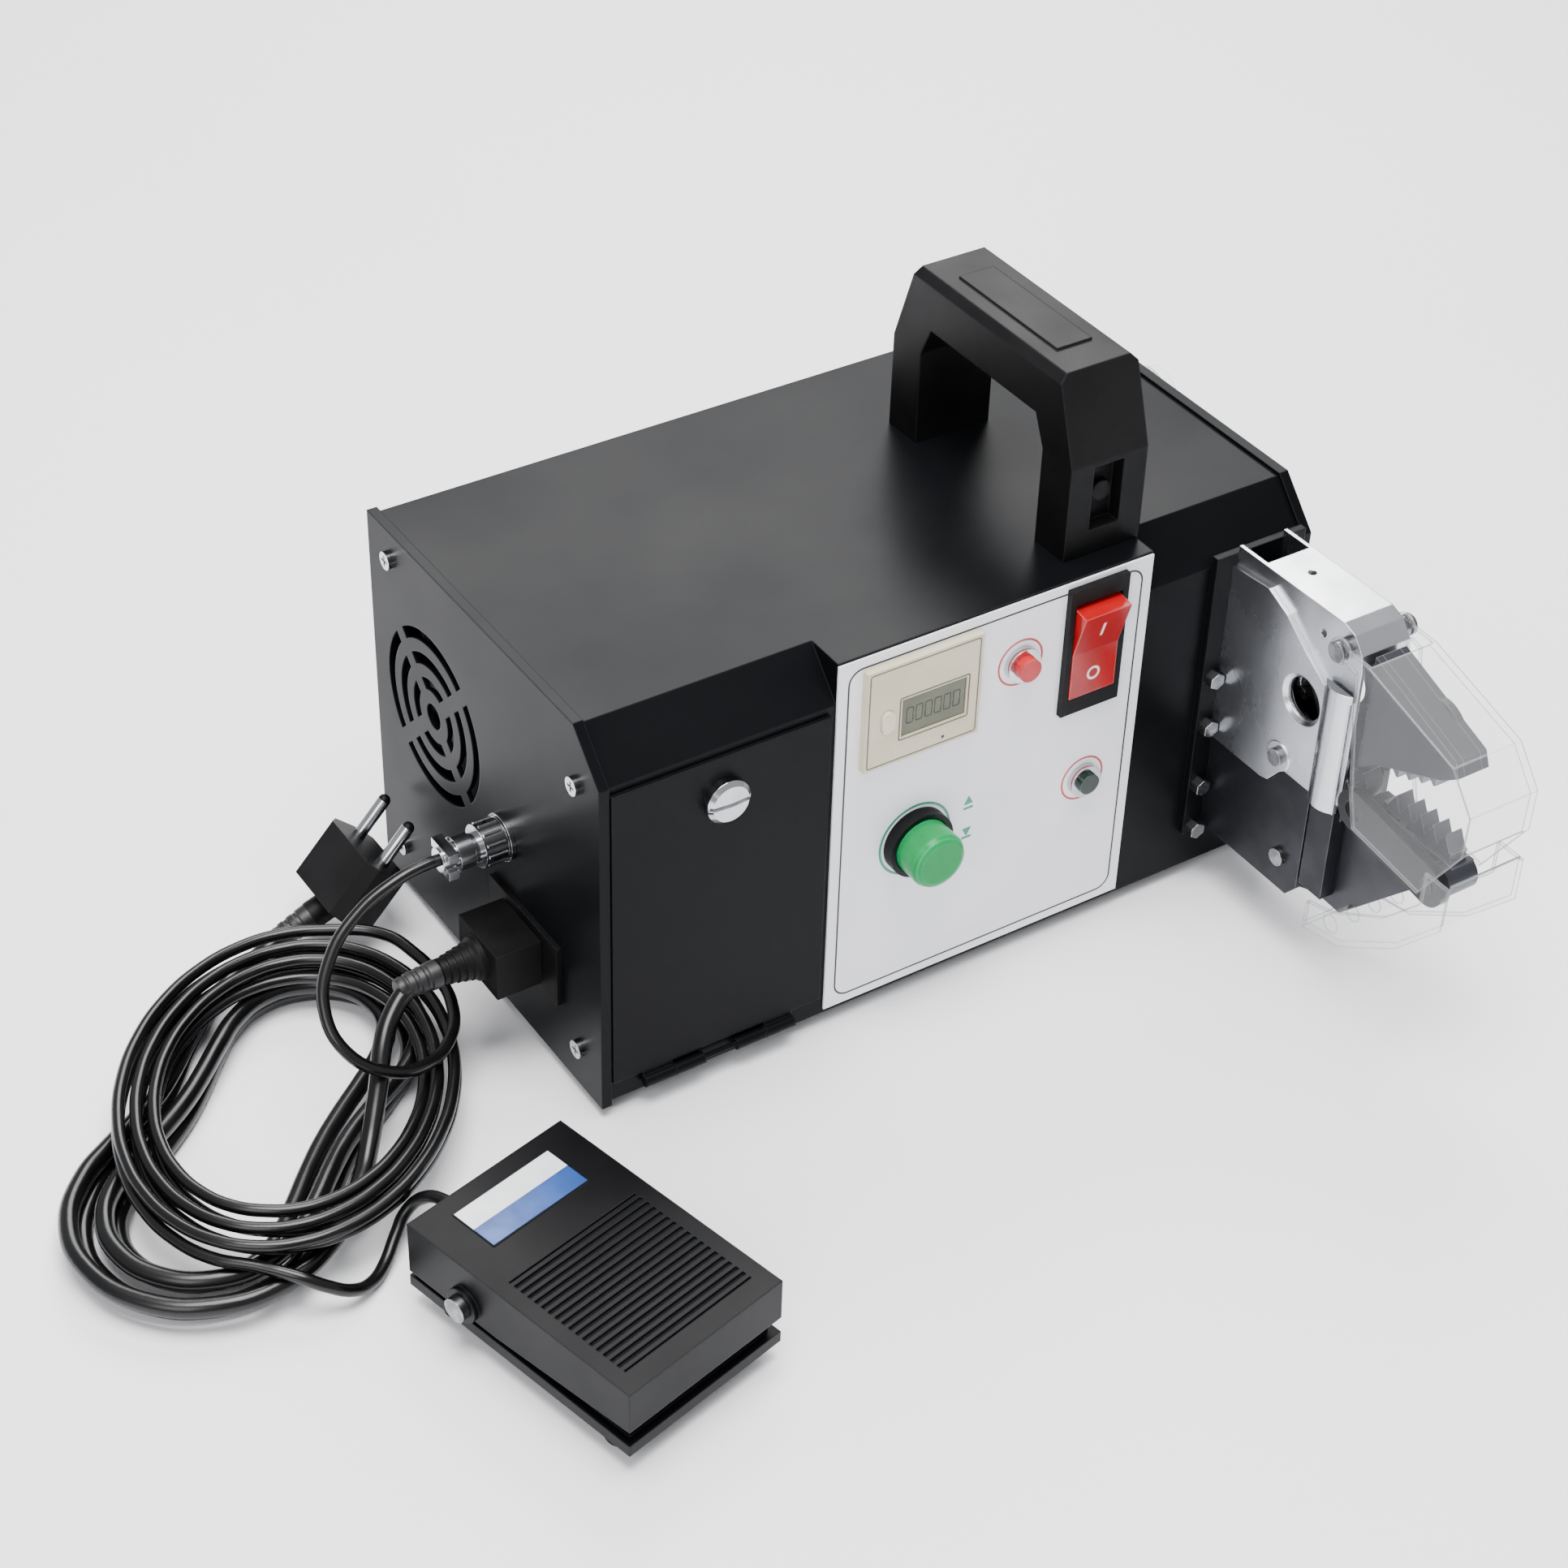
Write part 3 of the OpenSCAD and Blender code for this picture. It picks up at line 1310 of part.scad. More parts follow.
module jaw_pivot_pin() {
    color([0.75, 0.75, 0.76]) {
        rod_x(head_x - cheek_half - cheek_t, (cheek_half + cheek_t) * 2, pivot, pivot_r);
        both_sides() rod_x(head_x - cheek_half - cheek_t - pin_head_t, pin_head_t, pivot,
            pivot_r * 1.4);
    }
}

// Turns what is drawn closed back to the open rest position
module opened() {
    translate([0, pivot[0], pivot[1]]) rotate([-jaw_open, 0, 0])
        translate([0, -pivot[0], -pivot[1]]) children();
}

die_end = die_teeth * die_pitch_share;

module upper_jaw() {
    t = at(roller_shares);
    color([0.3, 0.3, 0.32]) difference() {
        union() {
            along_x(mid_x(jaw_half * 2), jaw_half * 2) {
                polygon(outline(core_shares));
                polygon(bar_pts(pivot, hub_r, t, lever_r));
            }
            rod_x(mid_x(jaw_half * 2), jaw_half * 2, pivot, hub_r);
            rod_x(mid_x(jaw_half * 2), jaw_half * 2, t, lever_r);
        }
        rod_x(0, case_l, pivot, pivot_r + fit);
        opened() along_x(mid_x(jaw_half * 2) - over, (jaw_half + over) * 2)
            polygon([die_pt(0, die_face_share), die_pt(die_end, die_face_share),
                die_pt(die_end, die_face_share + die_h / head_size),
                die_pt(0, die_face_share + die_h / head_size)]);
    }
}

module jaw_plates() {
    color([0.26, 0.26, 0.28]) {
        along_x(head_x - jaw_half - jaw_plate_t, jaw_plate_t)
            polygon(outline(jaw_plate_shares));
        along_x(head_x + jaw_half, jaw_plate_t) polygon(outline(jaw_plate_shares));
    }
    color([0.2, 0.2, 0.16]) rod_x(head_x + jaw_half, jaw_plate_t, at(lobe_shares), lobe_r);
}

module upper_die() {
    n = die_teeth;
    f = die_face_share;
    color([0.42, 0.42, 0.44]) opened() along_x(mid_x(die_half * 2), die_half * 2)
        polygon(concat([die_pt(0, f + die_h / head_size), die_pt(0, f)],
            [for (i = [1:n - 1], k = [0:3]) die_pt(i * die_pitch_share
                + (k < 2 ? -1 : 1) * ((k == 0 || k == 3) ? nose_top_share : nose_tip_share),
                (k == 0 || k == 3) ? f : f - nose_depth_share)],
            [die_pt(n * die_pitch_share, f),
                die_pt(n * die_pitch_share, f + die_h / head_size)]));
}

module locator_arm() {
    a = at(arm_pivot_shares);
    b = at(arm_end_shares);
    x0 = head_x - arm_off - arm_t;
    color([0.05, 0.05, 0.055]) difference() {
        union() {
            along_x(x0, arm_t) polygon(bar_pts(a, arm_r, b, arm_r));
            rod_x(x0, arm_t, a, arm_r);
            rod_x(x0, arm_t, b, arm_r);
        }
        rod_x(x0 - over, arm_t + over * 2, a, arm_pin_r + fit);
        rod_x(x0 - over, arm_t / 4 + over, b, arm_r / 2);
    }
}

module upper_guard() {
    top = outline(guard_top_shares);
    x0 = head_x - guard_off - guard_t;
    color([0.85, 0.9, 0.92, 0.35]) {
        both_sides() difference() {
            union() {
                along_x(x0, guard_t) polygon(outline(guard_shares));
                rod_x(x0, guard_t, at(guard_pivot_shares), guard_head_r + slot_w);
            }
            rod_x(x0 - over, guard_t + over * 2, at(guard_pivot_shares), guard_pin_r + fit);
        }
        along_x(x0 + guard_t, guard_off * 2)
            polygon(concat(top, flip(drop_back(top, guard_t))));
    }
}

module lower_guard() {
    wall = outline(concat(tray_out_shares, tray_in_shares));
    floor_line = outline(tray_out_shares);
    x0 = head_x - tray_off - guard_t;
    p = at(tray_pin_shares);
    color([0.85, 0.9, 0.92, 0.35]) {
        both_sides() along_x(x0, guard_t) polygon(wall);
        along_x(x0 + guard_t, tray_off * 2) polygon(concat(floor_line,
            flip([for (q = floor_line) q + [guard_t / 2, guard_t * 1.1]])));
    }
    color([0.4, 0.4, 0.42]) both_sides()
        rod_x(x0 + guard_t, tray_off - block_half, p, screw_r);
}

// Frame of the foot pedal, its length along Y
module pedal_at() {
    translate([pedal_x, pedal_y, 0]) rotate(pedal_turn) children();
}

module pedal_base() {
    inner_w = pedal_w / 2 - pedal_wall - pedal_slack;
    inner_l = pedal_l / 2 - pedal_wall - pedal_slack;
    color([0.07, 0.07, 0.075]) pedal_at() {
        difference() {
            union() {
                box([-pedal_w / 2, -pedal_l / 2, pedal_foot_h],
                    [pedal_w / 2, pedal_l / 2, pedal_foot_h + pedal_rim_h]);
                box([-inner_w, -inner_l, pedal_foot_h], [inner_w, inner_l, pedal_inner_top]);
            }
            rod_x(-pedal_w, pedal_w * 2, [pedal_hinge_y, pedal_hinge_z], pedal_bolt_r);
        }
        rod_y(inner_l - over, pedal_l / 2 - inner_l + over + gland_len, [gland_x, gland_z],
            gland_r);
    }
}

module pedal_feet() {
    color([0.04, 0.04, 0.04]) pedal_at() for (x = [-1, 1], y = [-1, 1])
        translate([x * pedal_foot_x, y * pedal_foot_y, 0])
            cylinder(h = pedal_foot_h, r = pedal_foot_r);
}

module pedal_bolt() {
    half = pedal_w / 2 + pedal_boss_h + fit;
    color([0.75, 0.75, 0.76]) pedal_at() {
        rod_x(-half, half * 2, [pedal_hinge_y, pedal_hinge_z], pedal_bolt_r);
        for (s = [0, 1]) mirror([s, 0, 0]) rod_x(half, pedal_head_h,
            [pedal_hinge_y, pedal_hinge_z], pedal_head_r);
    }
}

module pedal_treadle() {
    w = pedal_w / 2;
    l = pedal_l / 2;
    fy0 = pedal_frame_y - pedal_frame_l / 2;
    fy1 = pedal_frame_y + pedal_frame_l / 2;
    step = (pedal_frame_l - pedal_frame_t * 2) / pedal_ribs;
    color([0.06, 0.06, 0.065]) pedal_at() {
        difference() {
            union() {
                along_x(-w, pedal_w) polygon([[-l, pedal_skirt_front], [-l, pedal_h],
                    [l, pedal_h], [l, pedal_skirt_back], [pedal_skirt_knee, pedal_skirt_back]]);
                for (s = [0, 1]) mirror([s, 0, 0]) rod_x(w - over, over + pedal_boss_h,
                    [pedal_hinge_y, pedal_hinge_z], pedal_boss_r);
            }
            box([-w + pedal_wall, -l + pedal_wall, 0],
                [w - pedal_wall, l - pedal_wall, pedal_h - pedal_top_t]);
            rod_x(-pedal_w, pedal_w * 2, [pedal_hinge_y, pedal_hinge_z], pedal_bolt_r + fit);
            box([gland_x - gland_r - gland_slot, l - pedal_wall - over, 0],
                [gland_x + gland_r + gland_slot, l + over, gland_z + gland_r + gland_slot]);
            box([-pedal_frame_w / 2 + pedal_frame_t, fy0 + pedal_frame_t, pedal_h
                    - pedal_rib_h],
                [pedal_frame_w / 2 - pedal_frame_t, fy1 - pedal_frame_t, pedal_h + over]);
        }
        for (i = [0:pedal_ribs - 1])
            box([-pedal_frame_w / 2 + pedal_frame_t, fy0 + pedal_frame_t + (i + 0.25) * step,
                    pedal_h - pedal_rib_h],
                [pedal_frame_w / 2 - pedal_frame_t, fy0 + pedal_frame_t
                    + (i + 0.25 + pedal_rib_share) * step, pedal_h]);
    }
    color([0.9, 0.9, 0.92]) pedal_at()
        box([-pedal_label_w / 2, pedal_label_y - pedal_label_l / 2, pedal_h],
            [pedal_label_w / 2, pedal_label_y + pedal_label_l / 2, pedal_h + pedal_label_t]);
}

// Point of a smooth line through p between points i and i + 1
function smooth_at(p, i, t) = let (n = len(p) - 1, a = p[max(i - 1, 0)], b = p[i],
    c = p[min(i + 1, n)], d = p[min(i + 2, n)])
    (b * 2 + (c - a) * t + (a * 2 - b * 5 + c * 4 - d) * t * t
        + (b * 3 - a - c * 3 + d) * t * t * t) / 2;
function smooth_line(p, k) = concat(
    [for (i = [0:len(p) - 2], j = [0:k - 1]) smooth_at(p, i, j / k)], [p[len(p) - 1]]);
function tangents(p, t0, t1) = let (n = len(p) - 1) [for (i = [0:n])
    i == 0 ? t0 : i == n ? t1 : unit(p[i + 1] - p[i - 1])];
function square_to(s, t) = unit(s - (s * t) * t);
function sides_of(t, s0) = [for (i = 0, s = square_to(s0, t[0]); i < len(t);
    i = i + 1, s = square_to(s, t[min(i, len(t) - 1)])) s];

// Closed tube of n sides swept along the points p, from direction t0 to direction t1
module tube(p, r, n, t0, t1, s0) {
    t = tangents(p, t0, t1);
    s = sides_of(t, s0);
    m = len(p);
    pts = [for (i = [0:m - 1], k = [0:n - 1]) let (a = k * 360 / n)
        p[i] + r * (cos(a) * s[i] + sin(a) * cross(t[i], s[i]))];
    polyhedron(pts, concat(
        [for (i = [0:m - 2], k = [0:n - 1]) let (j = (k + 1) % n)
            [i * n + k, i * n + n + k, i * n + j]],
        [for (i = [0:m - 2], k = [0:n - 1]) let (j = (k + 1) % n)
            [i * n + j, i * n + n + k, i * n + n + j]],
        [for (k = [1:n - 2]) [0, k, k + 1]],
        [for (k = [1:n - 2]) [(m - 1) * n, (m - 1) * n + k + 1, (m - 1) * n + k]]));
}

// Oval coil: spirals in on the upper level, changes level in the middle half turn, spirals out
function coil_s(t) = min(max(t - coil_turns / 2 + 0.25, 0) * 2, 1);
function coil_in(t) = t < coil_turns / 2 - 0.25 ? t : t > coil_turns / 2 + 0.25 ?
    coil_turns - t : coil_turns / 2 - 0.25;
function coil_point(t) = let (a = coil_start + t * 360, r = coil_r - coil_step * coil_in(t),
    u = [sin(coil_dir), cos(coil_dir), 0], v = [cos(coil_dir), -sin(coil_dir), 0])
    coil_c + v * r * cos(a) + u * r * coil_oval_share * sin(a)
        - [0, 0, coil_rise * coil_s(t)];
coil_n = coil_turns * loop_rings;
coil_line = [for (i = [0:coil_n]) coil_point(i / loop_rings)];
coil_t0 = unit(coil_line[1] - coil_line[0]);
coil_t1 = unit(coil_line[coil_n] - coil_line[coil_n - 1]);
coil_pts = concat([coil_line[0] - coil_t0 * pedal_cord_d], coil_line,
    [coil_line[coil_n] + coil_t1 * pedal_cord_d]);

// Hank: runs drawn in at the waist, round ends, climbs a level along one run
function hank_in(t) = t < hank_climb ? t : t > hank_climb + 0.25 ?
    hank_climb * 2 + 0.25 - t : hank_climb;
function hank_s(t) = min(max((t - hank_climb) * 4, 0), 1);
function hank_xy(t, w) = let (f = t - floor(t),
    x = f < 0.25 ? hank_half * (1 - f * 8) : hank_half * ((f - 0.5) * 8 - 1),
    bend = 1 - hank_waist_share * pow(cos(x / hank_half * 90), 2))
    f < 0.25 ? [x, w * bend] : f < 0.5 ? [-hank_half - w * sin((f - 0.25) * 720),
        w * cos((f - 0.25) * 720)] : f < 0.75 ? [x, -w * bend] :
        [hank_half + w * sin((f - 0.75) * 720), -w * cos((f - 0.75) * 720)];
function hank_point(t) = let (q = hank_xy(t, hank_r - hank_step * hank_in(t)),
    a = [cos(hank_dir), sin(hank_dir), 0], b = [-sin(hank_dir), cos(hank_dir), 0])
    hank_c + a * q[0] + b * q[1] + [0, 0, hank_rise * hank_s(t)];
hank_n = hank_last_ring;
hank_line = [for (i = [0:hank_n]) hank_point(i / loop_rings)];
hank_t0 = unit(hank_line[1] - hank_line[0]);
hank_t1 = unit(hank_point((hank_n + 1) / loop_rings) - hank_line[hank_n - 1]);
hank_pts = concat([hank_line[0] - hank_t0 * mains_cord_d], hank_line,
    [hank_line[hank_n] + hank_t1 * mains_cord_d]);

// Least gap of a line of points to itself, at least half a loop apart along it
function least_gap(p, d) = min([for (i = [0:len(p) - 1], j = [i + loop_rings / 2:1:len(p) - 1])
    norm(p[i] - p[j])]) - d;
echo(coil_gap = least_gap(coil_pts, pedal_cord_d), hank_gap = least_gap(hank_pts, mains_cord_d));

module pedal_coil() {
    color([0.05, 0.05, 0.05]) tube(coil_pts, pedal_cord_d / 2, form_sides, coil_t0, coil_t1,
        [0, 0, 1]);
}

module mains_hank() {
    color([0.05, 0.05, 0.05]) tube(hank_pts, mains_cord_d / 2, form_sides, hank_t0, hank_t1,
        [0, 0, 1]);
}

coil_first = coil_pts[0];
coil_last = coil_pts[len(coil_pts) - 1];
hank_first = hank_pts[0];
hank_last = hank_pts[len(hank_pts) - 1];
gland_out = [-sin(pedal_turn), cos(pedal_turn), 0];
gland_end = [pedal_x, pedal_y, gland_z] + gland_out * (pedal_l / 2 + gland_len)
    + [cos(pedal_turn), sin(pedal_turn), 0] * gland_x;
clamp_end = [plug_end, socket_y, socket_z];
boot_end = [-half_l - inlet_t - conn_len - conn_boot_len, inlet_y, inlet_z];
mplug_end = mplug_boot_at + mplug_out * mplug_boot_len;

module pedal_cord_near() {
    p = smooth_line(concat([clamp_end, clamp_end - [pedal_cord_d, 0, 0]], pedal_near_route,
        [coil_first - coil_t0 * pedal_cord_d, coil_first]), 2);
    color([0.05, 0.05, 0.05]) tube(p, pedal_cord_d / 2, tube_sides, [-1, 0, 0], coil_t0,
        [0, 0, 1]);
}

module pedal_cord_far() {
    p = smooth_line(concat([coil_last, coil_last + coil_t1 * pedal_cord_d], pedal_far_route,
        [gland_end + gland_out * pedal_cord_d, gland_end]), 2);
    color([0.05, 0.05, 0.05]) tube(p, pedal_cord_d / 2, tube_sides, coil_t1, -gland_out,
        [0, 0, 1]);
}

module mains_cord_near() {
    p = smooth_line(concat([boot_end, boot_end - [mains_cord_d / 2, 0, 0]], mains_near_route,
        [hank_last + hank_t1 * mains_cord_d, hank_last]), 2);
    color([0.05, 0.05, 0.05]) tube(p, mains_cord_d / 2, tube_sides, [-1, 0, 0], -hank_t1,
        [0, 1, 0]);
}

module mains_cord_far() {
    p = smooth_line(concat([mplug_end, mplug_end + mplug_out * mains_cord_d / 2],
        mains_far_route, [hank_first - hank_t0 * mains_cord_d, hank_first]), 2);
    color([0.05, 0.05, 0.05]) tube(p, mains_cord_d / 2, tube_sides, mplug_out, hank_t0,
        [0, 1, 0]);
}

base_tray();
case_cover();
left_end_cap();
right_end_cap();
label_plate();
case_feet();
case_screws();
fan_housing();
fan_rotor();
carry_handle();
side_dome();
access_door();
door_lock();
counter_housing();
counter_window();
counter_reset();
overload_bushing();
overload_button();
rocker_bezel();
rocker_paddle();
button_bezel();
push_button();
lamp_bezel();
lamp_button();
inlet_socket();
round_socket();
round_plug();
coupling_nut();
mains_connector();
mains_plug();
drive_motor();
drive_pinion();
chassis_plates();
camshaft();
ram();
head_flange();
head_bolts();
ram_bush();
head_frame();
head_cover();
side_plates();
lower_jaw();
lower_die();
jaw_pivot_pin();
upper_jaw();
jaw_plates();
upper_die();
locator_arm();
upper_guard();
lower_guard();
pedal_base();
pedal_feet();
pedal_bolt();
pedal_treadle();
pedal_cord_near();
pedal_coil();
pedal_cord_far();
mains_cord_near();
mains_hank();
mains_cord_far();
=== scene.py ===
import math

import bmesh
import bpy
from mathutils import Matrix, Vector


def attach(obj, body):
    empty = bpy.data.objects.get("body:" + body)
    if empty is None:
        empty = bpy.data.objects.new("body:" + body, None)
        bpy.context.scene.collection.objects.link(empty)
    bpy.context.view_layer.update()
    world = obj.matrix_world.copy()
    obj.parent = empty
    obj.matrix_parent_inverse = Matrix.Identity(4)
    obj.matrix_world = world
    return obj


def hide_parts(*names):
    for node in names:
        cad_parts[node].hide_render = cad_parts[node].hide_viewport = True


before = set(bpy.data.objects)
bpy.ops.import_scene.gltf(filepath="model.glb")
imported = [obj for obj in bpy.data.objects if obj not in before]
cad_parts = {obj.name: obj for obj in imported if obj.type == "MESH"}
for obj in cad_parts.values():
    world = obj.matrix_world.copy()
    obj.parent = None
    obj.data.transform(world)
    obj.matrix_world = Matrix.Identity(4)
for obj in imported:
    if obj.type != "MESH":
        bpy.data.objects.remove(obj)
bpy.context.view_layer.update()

# Camera. The studio camera stands to the left and above, looking down on the case's front
# left corner, with a long lens, so that the case runs off to the right with little taper.
eye = Vector((-0.557, -0.7918, 0.7916))
yaw, pitch, roll = math.radians(33.99), math.radians(38.06), math.radians(1.95)
ahead = Vector((math.sin(yaw) * math.cos(pitch), math.cos(yaw) * math.cos(pitch), -math.sin(pitch)))
level = ahead.cross(Vector((0, 0, 1))).normalized()
above = level.cross(ahead)
side = level * math.cos(roll) + above * math.sin(roll)
top = above * math.cos(roll) - level * math.sin(roll)
camera = bpy.data.objects.new("studio_camera", bpy.data.cameras.new("studio_camera"))
bpy.context.scene.collection.objects.link(camera)
camera.matrix_world = Matrix.Translation(eye) @ Matrix((side, top, -ahead)).transposed().to_4x4()
camera.data.sensor_fit = "HORIZONTAL"
sensor_mm, focal_px, picture_px = 36, 3967, 1932
camera.data.sensor_width = sensor_mm
camera.data.lens = sensor_mm * focal_px / picture_px
camera.data.clip_start = 0.05
bpy.context.scene.camera = camera


# Pedal cord. A thin four-core PVC lead from the round plug, wound in an oval coil of five and a
# half turns beside the case, then out to the pedal's gland. It is limp and lies on the hank.
def lead(name, points, width):
    """A round lead along points in millimetres. Each knot's radius is the lead's own, in metres."""
    curve = bpy.data.curves.new(name, "CURVE")
    curve.dimensions = "3D"
    curve.bevel_depth = 1.0
    curve.bevel_resolution = 4
    curve.resolution_u = 6
    curve.use_fill_caps = True
    run = curve.splines.new("BEZIER")
    run.bezier_points.add(len(points) - 1)
    for knot, p in zip(run.bezier_points, points):
        knot.co = Vector(p) / 1000
        knot.radius = width / 2000
        knot.handle_left_type = knot.handle_right_type = "AUTO"
    made = bpy.data.objects.new(name, curve)
    bpy.context.scene.collection.objects.link(made)
    return made


pedal_cord_d = 4.5
coil_middle = Vector((-244, -31, 22.4))
coil_away = math.radians(34)
coil_turns = 5.5
coil_outer, coil_step, coil_oval, coil_drop = 60, 6, 1.35, 5.1
loop_steps = 24


def coil_point(t):
    half = coil_turns / 2
    inward = t if t < half - 0.25 else coil_turns - t if t > half + 0.25 else half - 0.25
    radius = coil_outer - coil_step * inward
    turn = math.radians(90 + t * 360)
    u = Vector((math.sin(coil_away), math.cos(coil_away), 0))
    v = Vector((math.cos(coil_away), -math.sin(coil_away), 0))
    fall = coil_drop * min(max(t - half + 0.25, 0) * 2, 1)
    return (coil_middle + v * radius * math.cos(turn) + u * radius * coil_oval * math.sin(turn)
            - Vector((0, 0, fall)))


coil_line = [coil_point(i / loop_steps) for i in range(int(coil_turns * loop_steps) + 1)]
plug_neck = Vector((-176.3, -15, 82))
pedal_turn = math.radians(13.6)
gland_way = Vector((-math.sin(pedal_turn), math.cos(pedal_turn), 0))
gland = (Vector((-201.7, -164.8, 20)) + gland_way * 57.5
         - Vector((math.cos(pedal_turn), math.sin(pedal_turn), 0)) * 8)
pedal_route = (
    [plug_neck, plug_neck - Vector((4.5, 0, 0)), (-193.5, -15.5, 80), (-209.5, -17.5, 73.5),
     (-223, -23.5, 64.5), (-231, -33.5, 53.5), (-229.5, -46, 42), (-217.5, -54, 33.5),
     (-201.5, -52.5, 29), (-188, -42.5, 27.5), (-179.5, -27, 26), (-176, -10, 24),
     (-176.5, 7, 23), (-181.5, 23.5, 22.5)]
    + coil_line
    + [(-279.5, -108, 16), (-272, -113, 12), (-264, -115, 7.5), (-255.5, -112, 4),
       (-248, -106.5, 4), (-241, -100.5, 7.5), (-234.5, -96.5, 12.5), (-228.5, -98.5, 17.5),
       gland + gland_way * 4.5, gland])
pedal_cord = lead("pedal_cord", pedal_route, pedal_cord_d)


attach(pedal_cord, "case")
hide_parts("pedal_cord_near", "pedal_coil", "pedal_cord_far")

# Mains cord. A heavy round three-core PVC lead from the inlet connector, folded in a loose hank
# flat on the floor under the coil, and ending in the plug that leans against the case.
mains_cord_d = 7.0
hank_middle = Vector((-257, -30, 3.5))
hank_way = math.radians(40)
hank_half_run, hank_half_wide, hank_step, hank_waist, hank_lift = 44, 44, 11.8, 0.1, 7.6
hank_points = 86


def hank_point(t):
    inward = t if t < 1.5 else 3.25 - t if t > 1.75 else 1.5
    w = hank_half_wide - hank_step * inward
    f = t - math.floor(t)
    x = hank_half_run * (1 - f * 8 if f < 0.25 else (f - 0.5) * 8 - 1)
    bend = 1 - hank_waist * math.cos(math.radians(x / hank_half_run * 90)) ** 2
    if f < 0.25:
        q = (x, w * bend)
    elif f < 0.5:
        turn = math.radians((f - 0.25) * 720)
        q = (-hank_half_run - w * math.sin(turn), w * math.cos(turn))
    elif f < 0.75:
        q = (x, -w * bend)
    else:
        turn = math.radians((f - 0.75) * 720)
        q = (hank_half_run + w * math.sin(turn), -w * math.cos(turn))
    a = Vector((math.cos(hank_way), math.sin(hank_way), 0))
    b = Vector((-math.sin(hank_way), math.cos(hank_way), 0))
    rise = hank_lift * min(max((t - 1.5) * 4, 0), 1)
    return hank_middle + a * q[0] + b * q[1] + Vector((0, 0, rise))


hank_line = [hank_point(i / loop_steps) for i in range(hank_points)]
boot_tip = Vector((-186, -30, 46))
plug_boot_tip = Vector((-194.76, 56, 13.03))
mains_route = (
    [boot_tip, boot_tip - Vector((3.5, 0, 0)), (-197.5, -31, 45), (-207, -35.5, 40.5),
     (-214.5, -42.5, 34.5), (-220, -50, 27.5), (-226, -57.5, 21), (-232.5, -65.5, 15),
     (-239.8, -74.4, 11.6)]
    + hank_line[::-1]
    + [(-241.9, 42.1, 3.5), (-237, 45, 3.5), (-230.5, 49, 3.5), (-223.5, 51.5, 3.8),
       (-216.5, 54, 5.5), (-209, 55, 8), (-202, 56, 10.5), plug_boot_tip])
mains_cord = lead("mains_cord", mains_route, mains_cord_d)
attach(mains_cord, "case")
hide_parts("mains_cord_near", "mains_hank", "mains_cord_far")


# Cord sheath, glossy soft PVC. It is extruded, so it is smooth, with a faint waviness and dull
# patches where the turns have rubbed on each other.
def tint(hex_colour):
    parts = [int(hex_colour[i:i + 2], 16) / 255 for i in (1, 3, 5)]
    return tuple(c / 12.92 if c <= 0.04045 else ((c + 0.055) / 1.055) ** 2.4 for c in parts) + (1,)


def add(material, kind, settings=None, links=None):
    node = material.node_tree.nodes.new(kind)
    for key, value in (settings or {}).items():
        if isinstance(key, str) and hasattr(node, key):
            setattr(node, key, value)
        else:
            node.inputs[key].default_value = value
    for key, source in (links or {}).items():
        material.node_tree.links.new(source, node.inputs[key])
    return node


def finish(name, base, patch, patch_mm, grain_mm, dent_mm, rough, ior=1.5, metallic=0.0,
           edge=None, edge_mm=0.4, stretch=(1, 1, 1), shader=None):
    """A material from its two colours, the size of its patches and its grain, the depth of the
    grain, its roughness range, and the colour along its edges: partly wear, partly painted
    highlight."""
    material = bpy.data.materials.new(name)
    material.use_nodes = True
    material.node_tree.nodes.clear()
    place = add(material, "ShaderNodeTexCoord")
    turned = add(material, "ShaderNodeMapping", {"Scale": stretch}, {0: place.outputs["Object"]})
    patches = add(material, "ShaderNodeTexNoise", {"Scale": 1000 / patch_mm, "Detail": 3.0},
                  {"Vector": turned.outputs[0]})
    grain = add(material, "ShaderNodeTexNoise", {"Scale": 1000 / grain_mm, "Detail": 2.0},
                {"Vector": turned.outputs[0]})
    share = add(material, "ShaderNodeMapRange", {1: 0.35, 2: 0.65}, {0: patches.outputs[0]})
    colour = add(material, "ShaderNodeMix", {"data_type": "RGBA"}, {0: share.outputs[0]})
    colour.inputs[6].default_value = tint(base)
    colour.inputs[7].default_value = tint(patch)
    dull = add(material, "ShaderNodeMapRange", {1: 0.3, 2: 0.7, 3: rough[0], 4: rough[1]},
               {0: patches.outputs[0]})
    rounded = add(material, "ShaderNodeBevel", {"samples": 4, "Radius": edge_mm / 1000})
    bump = add(material, "ShaderNodeBump", {"Strength": 1.0, "Distance": dent_mm / 1000},
               {"Height": grain.outputs[0], "Normal": rounded.outputs[0]})
    skin = colour.outputs[2]
    # Painted highlight along the edges, partly also wear: the bevel mask lightens the colour where
    # the rounded normal turns away from the flat one.
    if edge:
        flat = add(material, "ShaderNodeNewGeometry")
        meet = add(material, "ShaderNodeVectorMath", {"operation": "DOT_PRODUCT"},
                   {0: rounded.outputs[0], 1: flat.outputs["Normal"]})
        edge_wear_and_highlight_mask = add(material, "ShaderNodeMapRange", {1: 0.985, 2: 0.80, 3: 0.0, 4: 1.0},
                   {0: meet.outputs["Value"]})
        edge_wear_and_highlight = add(material, "ShaderNodeMix", {"data_type": "RGBA"},
                   {0: edge_wear_and_highlight_mask.outputs[0], 6: skin})
        edge_wear_and_highlight.inputs[7].default_value = tint(edge)
        skin = edge_wear_and_highlight.outputs[2]
    face = add(material, "ShaderNodeBsdfPrincipled", {"Metallic": metallic, "IOR": ior},
               {"Base Color": skin, "Roughness": dull.outputs[0], "Normal": bump.outputs[0]})
    for key, value in (shader or {}).items():
        face.inputs[key].default_value = value
    add(material, "ShaderNodeOutputMaterial", None, {0: face.outputs[0]})
    return material


